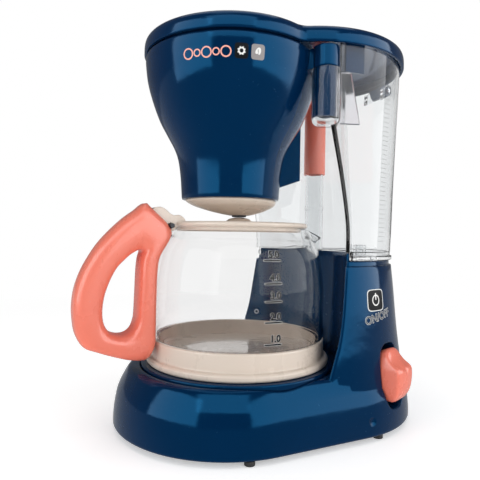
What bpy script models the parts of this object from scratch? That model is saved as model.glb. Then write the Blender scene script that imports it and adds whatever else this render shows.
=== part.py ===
"""Toy drip coffee maker: base with column, clear water tank, brewing head, one cover over both, and a carafe.

+X runs from the carafe to the tank, -Y is the front, +Z is up, and the floor is z = 0.
"""

import math

import bmesh
import bpy
from mathutils import Matrix, Vector

# Lengths are in metres, and MM turns millimetres into metres.
MM = 0.001
FIT = 0.3 * MM
OVERRUN = 4.0 * MM

# Places along the length, from the carafe's axis
CARAFE_X = -8.1 * MM
BASE_OFFSET = 7.0 * MM
HEAD_OFFSET = 5.5 * MM
TANK_OFFSET = 44.0 * MM
NEAR_X = CARAFE_X - BASE_OFFSET
HEAD_X = CARAFE_X - HEAD_OFFSET
TANK_X = CARAFE_X + TANK_OFFSET
PORT_OFFSET = 22.3 * MM
PORT_X = TANK_X + PORT_OFFSET
PORT_Y = 23.0 * MM
PUMP_OFFSET = 34.0 * MM
PUMP_X = TANK_X + PUMP_OFFSET

# Base and column
FOOT_HEIGHT = 2.5 * MM
FOOT_RADIUS = 2.6 * MM
FOOT_TIP_SHARE = 0.8
FOOT_NEAR_OFFSET = 12.5 * MM
FOOT_FAR_OFFSET = 9.0 * MM
FOOT_NEAR_X = NEAR_X - FOOT_NEAR_OFFSET
FOOT_FAR_X = TANK_X + FOOT_FAR_OFFSET
BASE_RADIUS = 60.0 * MM
FOOT_INSET = 4.5 * MM
FOOT_Y = BASE_RADIUS - FOOT_INSET
BASE_TOP = 31.4 * MM
BASE_WALL = 3.2 * MM
BASE_ROOF = 5.4 * MM
SHOULDER = 9.0 * MM
COLUMN_RISE = 57.1 * MM
COLUMN_TOP = BASE_TOP + COLUMN_RISE
COLUMN_TAPER = 10.0 * MM
COLUMN_ROOT_INSET = 1.0 * MM
COLUMN_ROOT_RADIUS = BASE_RADIUS - COLUMN_ROOT_INSET
COLUMN_TOP_RADIUS = COLUMN_ROOT_RADIUS - COLUMN_TAPER
COLUMN_STEP = 1.1 * MM
COLUMN_STEP_DROP = 2.6 * MM
COLUMN_ROOF = 4.0 * MM
FLANGE_RADIUS = 50.0 * MM
BAY_CLEARANCE = 10.3 * MM
BAY_RADIUS = FLANGE_RADIUS + BAY_CLEARANCE
BAY_FLARE = 4.6 * MM
LIP_THICK = 1.2 * MM
LIP_RISE = 4.0 * MM
LIP_SETBACK = math.radians(1.2)
HORN_ROUND = 3.2 * MM
PLATE_MARGIN = 2.6 * MM
PLATE_RADIUS = FLANGE_RADIUS + PLATE_MARGIN
PLATE_RISE = 1.3 * MM
PLATE_TOP = BASE_TOP + PLATE_RISE
PLATE_THICK = 3.6 * MM
PLATE_EDGE = 1.2 * MM
FLOOR_PLATE_THICK = 2.5 * MM

# Screw in the bay wall
SCREW_TURN = math.radians(51.75)
SCREW_RISE = 18.3 * MM
SCREW_Z = BASE_TOP + SCREW_RISE
SCREW_RADIUS = 1.6 * MM
SCREW_LENGTH = 6.0 * MM
SCREW_PROUD = 0.4 * MM

# Rocker switch, with lengths out from the wall, along it and up it
ROCKER_TURN = math.radians(-68.0)
ROCKER_LEAN = math.radians(8.0)
ROCKER_DROP = 1.8 * MM
ROCKER_Z = BASE_TOP - ROCKER_DROP
ROCKER_WALL_INSET = 3.9 * MM
ROCKER_WALL_RADIUS = BASE_RADIUS - ROCKER_WALL_INSET
ROCKER_WIDTH = 17.4 * MM
ROCKER_HEIGHT = 27.6 * MM
ROCKER_REACH = 8.4 * MM
ROCKER_BACK = 5.2 * MM
ROCKER_AXIS_DEPTH = 8.0 * MM
ROCKER_EDGE = 0.8 * MM
OVAL_POWER = 0.62
SLOT_SIDE_GAP = 0.7 * MM
SLOT_END_GAP = 2.5 * MM
SWITCH_FRONT = 6.0 * MM
SWITCH_DEPTH = 8.0 * MM
SWITCH_WALL = 1.4 * MM
SWITCH_ROOM = 0.4 * MM
AXLE_RADIUS = 1.2 * MM
AXLE_BORE = 1.5 * MM

# Batteries and their door
BATTERY_RADIUS = 7.1 * MM
BATTERY_LENGTH = 48.9 * MM
BATTERY_OFFSET = 17.0 * MM
BATTERY_X = CARAFE_X - BATTERY_OFFSET
BATTERY_GAP = 1.6 * MM
BATTERY_END = 4.0 * MM
BATTERY_BOX_WALL = 1.6 * MM

# Pump
MOTOR_RADIUS = 9.6 * MM
MOTOR_HEIGHT = 26.0 * MM
MOTOR_EDGE = 1.0 * MM
PUMP_RADIUS = 11.0 * MM
PUMP_HEIGHT = 15.0 * MM
PUMP_WALL = 2.0 * MM
ROTOR_TIP = 7.8 * MM
ROTOR_ROOT = 3.4 * MM
ROTOR_BLADES = 6
SHAFT_RADIUS = 1.2 * MM
NOZZLE_RADIUS = 2.8 * MM
NOZZLE_LENGTH = 5.0 * MM
HOSE_RADIUS = 3.0 * MM

# Carafe
CARAFE_FLOOR = PLATE_TOP + FIT
CUP_INSET = 2.5 * MM
CUP_RADIUS = FLANGE_RADIUS - CUP_INSET
CUP_HEIGHT = 12.8 * MM
CUP_WALL = 1.9 * MM
CUP_FLOOR = 3.0 * MM
FLANGE_HEIGHT = 3.7 * MM
JUG_RADIUS = 47.3 * MM
JUG_WALL = 1.8 * MM
JUG_HEIGHT = 71.9 * MM
JUG_TOP = CARAFE_FLOOR + JUG_HEIGHT
JUG_NECK = 37.2 * MM
SPOUT_PUSH = 17.0 * MM
SPOUT_DROP = 5.2 * MM
SPOUT_HALF_ANGLE = math.radians(15.0)
LID_RADIUS = 38.0 * MM
LID_THICK = 2.6 * MM
LID_SKIRT_RADIUS = 34.6 * MM
LID_SKIRT_DROP = 2.0 * MM
LID_SKIRT_WALL = 1.3 * MM
KNOB_RADIUS = 8.0 * MM
KNOB_RISE = 3.1 * MM
KNOB_SHARES = ((1.0, 0.0), (0.9, 0.45), (0.62, 0.85), (0.3, 1.0))
LEVER_SIZE = 10.0 * MM
LEVER_HALF_WIDTH = 4.4 * MM
LEVER_EDGE = 1.1 * MM
LEVER_SLOT_GAP = 0.7 * MM
PIVOT_OFFSET = 41.0 * MM
PIVOT_RISE = 0.5 * MM
PIVOT_X = CARAFE_X - PIVOT_OFFSET
PIVOT_Z = JUG_TOP + PIVOT_RISE
PIVOT_HALF = 8.0 * MM
HANDLE_HALF_WIDTH = 9.0 * MM
HANDLE_LENGTH = 50.4 * MM
HANDLE_POWER = 0.8
HANDLE_HEIGHT = 79.2 * MM
HANDLE_RISE = 4.5 * MM
HANDLE_LOW = CARAFE_FLOOR + HANDLE_RISE
HANDLE_OFFSET = 88.5 * MM
HANDLE_REACH = CARAFE_X - HANDLE_OFFSET

# Head
HEAD_CLEARANCE = 15.3 * MM
HEAD_BOTTOM = JUG_TOP + HEAD_CLEARANCE
HEAD_HEIGHT = 74.6 * MM
HEAD_RIM = HEAD_BOTTOM + HEAD_HEIGHT
RIM_GAP = 1.2 * MM
HEAD_RADIUS = 46.9 * MM
HEAD_WALL = 2.2 * MM
NECK_INSET = 2.4 * MM
NECK_HEIGHT = 5.2 * MM
NECK_TOP = HEAD_RIM + NECK_HEIGHT
CHANNEL_HALF_WIDTH = 8.5 * MM
CHANNEL_REACH = 39.8 * MM
CHANNEL_RISE = 8.0 * MM
CHANNEL_SLOPE = 4.6 * MM
CHANNEL_LOW = HEAD_BOTTOM + CHANNEL_RISE
CHANNEL_BACK_LOW = CHANNEL_LOW + CHANNEL_SLOPE
CHANNEL_DROP = 18.8 * MM
CHANNEL_HIGH = HEAD_RIM - CHANNEL_DROP
PEG_RADIUS = 6.5 * MM
PEG_TIP_RADIUS = 5.3 * MM
PEG_DEPTH = 25.0 * MM
PEG_WEB_SHARE = 0.55

# Tank
TANK_INSET = 0.4 * MM
TANK_WIDENING = 3.8 * MM
TANK_FOOT_RADIUS = COLUMN_TOP_RADIUS - TANK_INSET
TANK_RIM_RADIUS = TANK_FOOT_RADIUS + TANK_WIDENING
COVER_BOTTOM = HEAD_RIM + RIM_GAP
TANK_OVERLAP = 2.0 * MM
TANK_TOP = COVER_BOTTOM + TANK_OVERLAP
TANK_WALL = 2.0 * MM
TANK_FLOOR = 2.4 * MM
TANK_FLANGE = 1.0 * MM
TANK_FLANGE_HEIGHT = 2.2 * MM
PORT_RADIUS = 3.0 * MM
PORT_BORE = 1.8 * MM
PORT_DROP = 6.5 * MM
PORT_GAP = 1.6 * MM
INLET_RISE = 5.4 * MM
INLET_RADIUS = 3.6 * MM
HORN_OFFSET = 7.6 * MM
HORN_LEAN = 16.9 * MM
HORN_FOOT_X = TANK_X - HORN_OFFSET
HORN_TOP_X = HORN_FOOT_X - HORN_LEAN
SOCKET_SETBACK = 6.7 * MM
SOCKET_INSET = 5.03 * MM
SOCKET_X = HORN_TOP_X + SOCKET_SETBACK
SOCKET_Y = math.sqrt((TANK_RIM_RADIUS - SOCKET_INSET) ** 2 - (TANK_X - SOCKET_X) ** 2)
SOCKET_RADIUS = 7.1 * MM
SOCKET_WALL = 1.4 * MM
SOCKET_HANG = 10.3 * MM
SOCKET_TOP = HEAD_RIM - SOCKET_HANG
PEG_RISE = 0.6 * MM
PEG_TOP = HEAD_RIM + PEG_RISE
SOCKET_DEPTH = 28.5 * MM
WEB_THICK = 1.5 * MM
WEB_LENGTH = 17.5 * MM
WEB_TOP_LENGTH = 12.5 * MM
WEB_TURN = math.radians(20.0)
EAR_HALF_GAP = 6.4 * MM
EAR_THICK = 2.8 * MM

# Riser
TUBE_RADIUS = 5.9 * MM
TUBE_WALL = 1.4 * MM
SLEEVE_LENGTH = 55.5 * MM
SLEEVE_TOP = TANK_TOP - TANK_OVERLAP / 2
SLEEVE_BOTTOM = SLEEVE_TOP - SLEEVE_LENGTH
TUBE_DROP = 12.0 * MM
TUBE_TOP = SLEEVE_TOP - TUBE_DROP
SLEEVE_WALL = 0.9 * MM
BRIDGE_DROP = 3.8 * MM
BRIDGE_Z = HEAD_RIM - BRIDGE_DROP
BRIDGE_RADIUS = 4.2 * MM
BRIDGE_BORE = 2.8 * MM
BRIDGE_REACH = 31.0 * MM

# Funnel and valve
FUNNEL_RADIUS = 24.8 * MM
FUNNEL_DROP = 8.1 * MM
FUNNEL_TIP_Z = HEAD_BOTTOM - FUNNEL_DROP
FUNNEL_TIP_RADIUS = 5.6 * MM
FUNNEL_WALL = 1.8 * MM
SPIGOT_HEIGHT = 7.0 * MM
VALVE_RADIUS = 4.0 * MM
VALVE_BORE_GAP = 0.6 * MM
VALVE_PAD = 1.2 * MM
VALVE_EDGE = 1.6 * MM
VALVE_CAP_RADIUS = 3.2 * MM
VALVE_TRAVEL = 2.0 * MM
STEM_RADIUS = 1.5 * MM
STEM_GAP = 0.4 * MM

# Cover
COVER_HEIGHT = 10.2 * MM
COVER_LIP = 0.8 * MM
COVER_TOP = COVER_BOTTOM + COVER_HEIGHT
COVER_HEAD_RADIUS = HEAD_RADIUS + COVER_LIP
COVER_MARGIN = 2.1 * MM
COVER_TANK_RADIUS = TANK_RIM_RADIUS + COVER_MARGIN
COVER_VALLEY = 8.0 * MM
COVER_WALL = 1.7 * MM
COVER_PLATE = 2.6 * MM
LEDGE_OFFSET = 39.2 * MM
LEDGE_X = HEAD_X - LEDGE_OFFSET
LEDGE_HALF_WIDTH = 14.0 * MM
LEDGE_DROP = 1.3 * MM
TAB_CLEARANCE = 3.5 * MM
TAB_RADIUS = TANK_RIM_RADIUS - TAB_CLEARANCE
TAB_THICK = 1.6 * MM
TAB_DROP = 12.4 * MM
TAB_START = math.radians(88.0)
TAB_END = math.radians(101.0)
HINGE_REACH = 3.0 * MM
HINGE_X = TANK_X + COVER_TANK_RADIUS + HINGE_REACH
HINGE_DROP = 2.0 * MM
HINGE_Z = COVER_BOTTOM - HINGE_DROP
HINGE_RADIUS = 3.2 * MM
KNUCKLE_HALF = 6.0 * MM
EAR_START = math.radians(-90.0)
EAR_END = math.radians(150.0)
KNUCKLE_START = math.radians(-160.0)
KNUCKLE_END = math.radians(90.0)

# Numbers of points round a ring
ROUND_COUNT = 44
SMALL_COUNT = 20
ARC_COUNT = 28
BAY_COUNT = 18
CORNER_COUNT = 3
HINGE_COUNT = 11
PIN_COUNT = 16
OVAL_COUNT = 32
END_COUNT = 12
SHARP_ANGLE = math.radians(32.0)

# Shares of height above the base's lower edge, with shares of the shoulder's inset
BASE_SHARES = (
    (0.0, 0.0), (0.34, 0.07), (0.55, 0.19), (0.68, 0.33), (0.79, 0.5), (0.89, 0.68), (0.965, 0.84), (1.0, 1.0),
)
# Shares of the column's height with shares of its taper, and then of the flare at its root
COLUMN_SHARES = (
    (0.0, 0.0), (0.24, 0.3), (0.42, 0.52), (0.5, 0.6), (0.66, 0.73), (0.82, 0.84), (1.0, 1.0),
)
FLARE_SHARES = (1.0, 1.0, 0.3, 0.1, 0.0, 0.0, 0.0)
# Shares of the tank's height with shares of its widening, and where the horns and the bay wall stand.
# The lowest levels stand back behind the column's lip.
TANK_SHARES = (
    (0.0, 0.0), (0.05, 0.06), (0.075, 0.08), (0.2, 0.2), (0.4, 0.36), (0.62, 0.58), (0.83, 0.84), (1.0, 1.0),
)
HORN_SHARES = (0.0, 0.0, 0.0, 0.12, 0.27, 0.57, 0.83, 1.0)
REBATED_LEVELS = 2
BAY_WALL_LEAN = 2.1 * MM
BAY_WALL_FOOT_X = CARAFE_X + BAY_RADIUS + FIT / 3
BAY_WALL_TOP_X = BAY_WALL_FOOT_X - BAY_WALL_LEAN
# Shares of the head's height with shares of its radius
HEAD_SHARES = (
    (0.0, 0.569), (0.17, 0.589), (0.28, 0.614), (0.365, 0.66), (0.46, 0.742),
    (0.57, 0.836), (0.71, 0.92), (0.83, 0.972), (0.94, 0.996), (1.0, 1.0),
)
# Shares of the funnel's drop with shares of its radius
FUNNEL_SHARES = ((0.0, 1.0), (0.24, 0.95), (0.42, 0.86), (0.72, 0.6), (0.92, 0.36))
# Shares of the cover's height with shares of the inset of its rounded edge
COVER_SHARES = ((0.0, 0.0), (0.42, 0.02), (0.66, 0.1), (0.82, 0.26), (0.92, 0.5), (1.0, 1.0))
COVER_ROUND = 5.2 * MM
COVER_CROWN = 0.7 * MM
COVER_CROWN_INSET = 30.0 * MM
# Shares of the jug's height above the cup with its radius share and how much of the spout it carries
JUG_SHARES = (
    (0.005, 0.99, 0.0), (0.25, 1.0, 0.0), (0.46, 0.998, 0.0), (0.6, 0.98, 0.0), (0.71, 0.957, 0.02),
    (0.79, 0.932, 0.1), (0.85, 0.9, 0.27), (0.885, 0.875, 0.43), (0.915, 0.838, 0.6), (0.96, 0.806, 0.84),
    (1.0, 0.786, 1.0),
)
# Shares of the handle's length and height, for each station's outer and inner point
HANDLE_SHARES = (
    ((0.7, 1.0), (0.629, 0.7)), ((0.581, 0.95), (0.585, 0.686)), ((0.468, 0.896), (0.534, 0.665)),
    ((0.347, 0.822), (0.476, 0.631)), ((0.238, 0.743), (0.416, 0.591)), ((0.143, 0.65), (0.369, 0.54)),
    ((0.071, 0.56), (0.329, 0.481)), ((0.02, 0.462), (0.297, 0.417)), ((0.0, 0.365), (0.28, 0.345)),
    ((0.004, 0.28), (0.282, 0.279)), ((0.028, 0.189), (0.304, 0.229)), ((0.099, 0.108), (0.343, 0.193)),
    ((0.218, 0.072), (0.387, 0.176)), ((0.385, 0.033), (0.446, 0.167)), ((0.556, 0.002), (0.514, 0.173)),
    ((0.714, 0.0), (0.569, 0.203)), ((0.794, 0.076), (0.599, 0.253)), ((0.804, 0.19), (0.609, 0.297)),
    ((0.806, 0.379), (0.617, 0.42)), ((0.815, 0.566), (0.625, 0.568)), ((0.843, 0.664), (0.637, 0.645)),
    ((0.962, 0.815), (0.651, 0.683)), ((0.845, 0.92), (0.643, 0.697)),
)
# Corners of the lever's side and of the slot that it lies in, as shares of the lever's size from the pivot
LEVER_SHARES = (
    (0.8, 0.22), (0.58, 0.6), (0.3, 0.66), (0.06, 0.4), (-0.26, 0.82), (-0.56, 0.96), (-0.88, 0.87),
    (-0.96, 0.62), (-0.56, 0.08), (-0.16, -0.22), (0.2, -0.25), (0.34, -0.015), (0.8, -0.015),
)
SLOT_SHARES = ((-1.16, 1.4), (-1.16, 0.56), (-0.62, -0.18), (-0.2, -0.36), (1.5, -0.36), (1.5, 1.4))
# Corners of the rocker's side, out from the wall and up it
ROCKER_OUTLINE_SHARES = (
    (-1.32, -0.14), (-0.2, -0.5), (0.12, -0.5), (0.45, -0.43), (0.78, -0.26), (0.96, -0.06), (1.0, 0.08),
    (0.93, 0.135), (0.68, 0.19), (0.45, 0.28), (0.32, 0.38), (0.26, 0.5), (-0.2, 0.5), (-1.32, 0.14),
)
# Shares of the socket's depth with shares of its radius
SOCKET_SHARES = ((0.0, 0.45), (0.02, 0.72), (0.07, 0.92), (0.16, 1.0), (1.0, 1.0))


# Materials
def plastic(name, colour, roughness, coat=0.0):
    made = bpy.data.materials.new(name)
    made.use_nodes = True
    shader = made.node_tree.nodes["Principled BSDF"]
    shader.inputs["Base Color"].default_value = (*colour, 1.0)
    shader.inputs["Roughness"].default_value = roughness
    shader.inputs["Coat Weight"].default_value = coat
    made.diffuse_color = (*colour, 1.0)
    return made


def clear_plastic(name, colour):
    made = plastic(name, colour, 0.05)
    shader = made.node_tree.nodes["Principled BSDF"]
    shader.inputs["Transmission Weight"].default_value = 0.95
    shader.inputs["Alpha"].default_value = 0.35
    made.diffuse_color = (*colour, 0.35)
    return made


def metal(name, colour, roughness):
    made = plastic(name, colour, roughness)
    made.node_tree.nodes["Principled BSDF"].inputs["Metallic"].default_value = 1.0
    return made


# Rings of points, each one turning anticlockwise seen from above
def circle_ring(x, y, radius, z, count=ROUND_COUNT):
    turns = [2.0 * math.pi * i / count for i in range(count)]
    return [Vector((x + radius * math.cos(a), y + radius * math.sin(a), z)) for a in turns]


def arc(x, y, radius, start, end, z, count):
    turns = [start + (end - start) * i / (count - 1) for i in range(count)]
    return [Vector((x + radius * math.cos(a), y + radius * math.sin(a), z)) for a in turns]


def stadium_ring(radius, z):
    far = arc(TANK_X, 0.0, radius, -math.pi / 2, math.pi / 2, z, ROUND_COUNT // 2)
    near = arc(NEAR_X, 0.0, radius, math.pi / 2, 3 * math.pi / 2, z, ROUND_COUNT // 2)
    return far + near


def corner(start, tip, end):
    """The points between start and end on a curve that bends at tip."""
    shares = [(i + 1) / (CORNER_COUNT + 1) for i in range(CORNER_COUNT)]
    return [start * (1 - t) ** 2 + tip * 2 * t * (1 - t) + end * t ** 2 for t in shares]


def crossing(apart, near_radius, far_radius):
    """Where two circles cross, along and across from the near one's centre."""
    along = (apart ** 2 + near_radius ** 2 - far_radius ** 2) / (2 * apart)
    return along, math.sqrt(near_radius ** 2 - along ** 2)


def crescent_ring(outer_radius, bay_x, bay_radius, z, rounding=HORN_ROUND):
    apart = TANK_X - bay_x
    along, across = crossing(apart, bay_radius, outer_radius)
    outer_turn = math.atan2(across, along - apart) - rounding / outer_radius
    bay_turn = math.atan2(across, along) - rounding / bay_radius
    outer = arc(TANK_X, 0.0, outer_radius, -outer_turn, outer_turn, z, ARC_COUNT)
    inner = arc(bay_x, 0.0, bay_radius, bay_turn, -bay_turn, z, BAY_COUNT)
    rear_horn = Vector((bay_x + along, across, z))
    front_horn = Vector((bay_x + along, -across, z))
    rear = corner(outer[-1], rear_horn, inner[0])
    front = corner(inner[-1], front_horn, outer[0])
    return outer + rear + inner + front


def bay_circle(outer_radius, horn_x, wall_x):
    """The centre and radius of the arc from horn to horn that crosses the axis at wall_x."""
    horn_y_squared = outer_radius ** 2 - (TANK_X - horn_x) ** 2
    centre = (wall_x ** 2 - horn_x ** 2 - horn_y_squared) / (2 * (wall_x - horn_x))
    return centre, wall_x - centre


def cover_ring(inset, z):
    near_radius = COVER_HEAD_RADIUS - inset
    far_radius = COVER_TANK_RADIUS - inset
    valley = COVER_VALLEY + inset
    apart = TANK_X - HEAD_X
    near_reach = near_radius + valley
    far_reach = far_radius + valley
    along, across = crossing(apart, near_reach, far_reach)
    near_turn = math.atan2(across, along)
    far_turn = math.atan2(across, along - apart)
    far = arc(TANK_X, 0.0, far_radius, -far_turn, far_turn, z, ARC_COUNT)
    near = arc(HEAD_X, 0.0, near_radius, near_turn, 2 * math.pi - near_turn, z, ARC_COUNT)
    valley_x = HEAD_X + along
    count = CORNER_COUNT + 2
    rear = arc(valley_x, across, valley, far_turn + math.pi, near_turn + math.pi, z, count)
    front = arc(valley_x, -across, valley, math.pi - near_turn, math.pi - far_turn, z, count)
    return far + rear[1:-1] + near + front[1:-1]


def hinge_outline(root_x, low_z, high_z, start, end):
    """The side of a hinge arm: straight from its root at root_x and round about the hinge's axis."""
    turns = [start + (end - start) * i / (HINGE_COUNT - 1) for i in range(HINGE_COUNT)]
    eye = [(HINGE_X + HINGE_RADIUS * math.cos(a), HINGE_Z + HINGE_RADIUS * math.sin(a)) for a in turns]
    return [(root_x, low_z)] + eye + [(root_x, high_z)]


# Solids
def finish(name, mesh_data, material, smooth=True):
    mesh = bpy.data.meshes.new(name)
    bmesh.ops.recalc_face_normals(mesh_data, faces=mesh_data.faces)
    mesh_data.to_mesh(mesh)
    mesh_data.free()
    mesh.materials.append(material)
    made = bpy.data.objects.new(name, mesh)
    bpy.context.collection.objects.link(made)
    if smooth:
        mesh.polygons.foreach_set("use_smooth", [True] * len(mesh.polygons))
        mesh.set_sharp_from_angle(angle=SHARP_ANGLE)
    return made


def loft(name, rings, material, loop=False, smooth=True):
    """A solid through rings of equal count: a loop joins its last ring to its first, else both ends are capped."""
    data = bmesh.new()
    rows = [[data.verts.new(point) for point in ring] for ring in rings]
    pairs = list(zip(rows, rows[1:]))
    if loop:
        pairs.append((rows[-1], rows[0]))
    for low, high in pairs:
        for i in range(len(low)):
            j = (i + 1) % len(low)
            data.faces.new((low[i], low[j], high[j], high[i]))
    if not loop:
        data.faces.new(reversed(rows[0]))
        data.faces.new(rows[-1])
    return finish(name, data, material, smooth)


def turned(name, x, y, profile, material, count=ROUND_COUNT, loop=False):
    """A round solid about a vertical axis, from (radius, height) pairs."""
    return loft(name, [circle_ring(x, y, radius, z, count) for radius, z in profile], material, loop)


def prism(name, outline, half_width, material, edge=0.0):
    """A flat outline in the XZ plane, pushed out the same way to both sides, with its edges bevelled."""
    data = bmesh.new()
    sides = [[data.verts.new((x, y, z)) for x, z in outline] for y in (-half_width, half_width)]
    for i in range(len(outline)):
        j = (i + 1) % len(outline)
        data.faces.new((sides[0][i], sides[0][j], sides[1][j], sides[1][i]))
    data.faces.new(reversed(sides[0]))
    data.faces.new(sides[1])
    made = finish(name, data, material)
    if edge:
        bevel = made.modifiers.new("edge", "BEVEL")
        bevel.width = edge
        bevel.segments = 2
        bevel.limit_method = "ANGLE"
        bevel.angle_limit = SHARP_ANGLE
    return made


def box(name, low, high, material):
    data = bmesh.new()
    bmesh.ops.create_cube(data, size=1.0)
    size = [b - a for a, b in zip(low, high)]
    middle = [(a + b) / 2 for a, b in zip(low, high)]
    place = Matrix.Translation(middle) @ Matrix.Diagonal((*size, 1.0))
    bmesh.ops.transform(data, matrix=place, verts=data.verts)
    return finish(name, data, material, smooth=False)


def rod(name, start, end, radius, material, count=SMALL_COUNT):
    start, end = Vector(start), Vector(end)
    data = bmesh.new()
    bmesh.ops.create_cone(
        data, cap_ends=True, segments=count, radius1=radius, radius2=radius, depth=(end - start).length
    )
    turn = (end - start).to_track_quat("Z", "Y").to_matrix().to_4x4()
    bmesh.ops.transform(data, matrix=Matrix.Translation((start + end) / 2) @ turn, verts=data.verts)
    return finish(name, data, material)


def combine(target, other, operation):
    step = target.modifiers.new(other.name, "BOOLEAN")
    step.operation = operation
    step.solver = "EXACT"
    step.object = other
    other.hide_render = True
    other.display_type = "WIRE"


def add(target, other):
    combine(target, other, "UNION")


def cut(target, other):
    combine(target, other, "DIFFERENCE")


def keep(target, other):
    combine(target, other, "INTERSECT")


# Base and column
def column_rings(inset, low, high):
    """Rings of the column between two heights, drawn in from its outer and bay walls."""
    rings = []
    root = FOOT_HEIGHT + BASE_WALL
    for (height, taper), flare in zip(COLUMN_SHARES, FLARE_SHARES):
        z = root + (COLUMN_TOP - root) * height
        outer = COLUMN_ROOT_RADIUS + (COLUMN_TOP_RADIUS - COLUMN_ROOT_RADIUS) * taper
        bay = BAY_RADIUS - BAY_FLARE * flare * (inset == 0.0)
        z = min(max(z, low), high)
        rings.append(crescent_ring(outer - inset, CARAFE_X, bay + inset, z))
    heights = [ring[0].z for ring in rings]
    return [ring for i, ring in enumerate(rings) if i == 0 or heights[i] > heights[i - 1]]


def base_shell(navy):
    height = BASE_TOP - FOOT_HEIGHT
    rings = []
    for share, inset in BASE_SHARES:
        rings.append(stadium_ring(BASE_RADIUS - SHOULDER * inset, FOOT_HEIGHT + height * share))
    shell = loft("base_shell", rings, navy)
    step_z = COLUMN_TOP - COLUMN_STEP_DROP
    column = column_rings(0.0, 0.0, step_z)
    column.append(crescent_ring(COLUMN_TOP_RADIUS - COLUMN_STEP, CARAFE_X, BAY_RADIUS, step_z))
    column.append(crescent_ring(COLUMN_TOP_RADIUS - COLUMN_STEP, CARAFE_X, BAY_RADIUS, COLUMN_TOP))
    add(shell, loft("column_block", column, navy))
    lip_low = COLUMN_TOP - COLUMN_ROOF / 2
    along, across = crossing(TANK_X - CARAFE_X, BAY_RADIUS + LIP_THICK, COLUMN_TOP_RADIUS - COLUMN_STEP)
    lip_turn = math.atan2(across, along) - LIP_SETBACK
    lip_rings = []
    for z in (lip_low, COLUMN_TOP + LIP_RISE):
        front = arc(CARAFE_X, 0.0, BAY_RADIUS + LIP_THICK, -lip_turn, lip_turn, z, BAY_COUNT)
        back = arc(CARAFE_X, 0.0, BAY_RADIUS, lip_turn, -lip_turn, z, BAY_COUNT)
        lip_rings.append(front + back)
    add(shell, loft("column_lip", lip_rings, navy))
    wall_inside = BASE_RADIUS - BASE_WALL
    cavity = [stadium_ring(wall_inside, z) for z in (FOOT_HEIGHT - OVERRUN, FOOT_HEIGHT + height / 2)]
    cavity.append(stadium_ring(wall_inside - SHOULDER / 2, BASE_TOP - BASE_ROOF))
    cut(shell, loft("base_cavity", cavity, navy))
    room = column_rings(BASE_WALL, FOOT_HEIGHT + BASE_WALL, COLUMN_TOP - COLUMN_ROOF)
    cut(shell, loft("column_cavity", room, navy))
    plate_seat = PLATE_TOP - PLATE_THICK - FIT
    seat = [(PLATE_RADIUS + FIT, z) for z in (plate_seat, BASE_TOP + OVERRUN)]
    cut(shell, turned("plate_seat", CARAFE_X, 0.0, seat, navy))
    for name, side in (("inlet_hole", -1), ("outlet_hole", 1)):
        low = (PORT_X, side * PORT_Y, COLUMN_TOP - COLUMN_ROOF - OVERRUN)
        high = (PORT_X, side * PORT_Y, COLUMN_TOP + OVERRUN)
        cut(shell, rod(name, low, high, PORT_RADIUS + PORT_GAP, navy))
    slot_width = ROCKER_WIDTH + 2 * SLOT_SIDE_GAP
    slot = oval_prism("rocker_slot", slot_width, ROCKER_HEIGHT + 2 * SLOT_END_GAP, navy)
    place_on_wall(slot, 0.0)
    cut(shell, slot)
    front, back = screw_ends(OVERRUN, SCREW_LENGTH + FIT)
    cut(shell, rod("screw_hole", front, back, SCREW_RADIUS + FIT, navy, count=PIN_COUNT))
    return shell


def screw_ends(proud, depth):
    """Two points on the screw's axis: one in front of the bay wall and one behind its face."""
    aim = Vector((math.cos(SCREW_TURN), math.sin(SCREW_TURN), 0.0))
    middle = Vector((CARAFE_X, 0.0, SCREW_Z))
    return middle + aim * (BAY_RADIUS - proud), middle + aim * (BAY_RADIUS + depth)


def column_screw(steel):
    front, back = screw_ends(SCREW_PROUD, SCREW_LENGTH)
    return rod("column_screw", front, back, SCREW_RADIUS, steel, count=PIN_COUNT)


def warming_plate(navy):
    low = PLATE_TOP - PLATE_THICK
    profile = (
        (PLATE_RADIUS, low), (PLATE_RADIUS, PLATE_TOP - PLATE_EDGE), (PLATE_RADIUS - PLATE_EDGE, PLATE_TOP),
    )
    return turned("warming_plate", CARAFE_X, 0.0, profile, navy)


def door_limits(gap):
    low_x = BATTERY_X - BATTERY_LENGTH / 2 - BATTERY_END
    high_x = BATTERY_X + BATTERY_LENGTH / 2 + BATTERY_END
    half_y = 2 * BATTERY_RADIUS + BATTERY_GAP
    return low_x - gap, high_x + gap, half_y + gap


def bottom_plate(dark):
    top = FOOT_HEIGHT + FLOOR_PLATE_THICK
    radius = BASE_RADIUS - BASE_WALL - FIT
    plate = loft("bottom_plate", [stadium_ring(radius, z) for z in (FOOT_HEIGHT, top)], dark)
    seat_low = (PUMP_X, 0.0, FOOT_HEIGHT + FIT)
    seat_high = (PUMP_X, 0.0, top + FLOOR_PLATE_THICK)
    add(plate, rod("pump_seat", seat_low, seat_high, PUMP_RADIUS, dark))
    low_x, high_x, half_y = door_limits(FIT)
    cut(plate, box("door_hole", (low_x, -half_y, 0.0), (high_x, half_y, top + OVERRUN), dark))
    return plate


def battery_door(dark):
    low_x, high_x, half_y = door_limits(0.0)
    top = FOOT_HEIGHT + FLOOR_PLATE_THICK - FIT
    door = box("battery_door", (low_x, -half_y, FOOT_HEIGHT), (high_x, half_y, top), dark)
    edge = door.modifiers.new("edge", "BEVEL")
    edge.width = FIT
    edge.segments = 1
    return door


def battery_box(dark):
    low_x, high_x, half_y = door_limits(0.0)
    low = FOOT_HEIGHT + FLOOR_PLATE_THICK + FIT
    high = low + 2 * BATTERY_RADIUS + BATTERY_GAP
    wall = BATTERY_BOX_WALL
    corner_low = (low_x - wall, -half_y - wall, low)
    corner_high = (high_x + wall, half_y + wall, high + wall)
    tray = box("battery_box", corner_low, corner_high, dark)
    cut(tray, box("battery_room", (low_x, -half_y, 0.0), (high_x, half_y, high), dark))
    return tray


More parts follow.
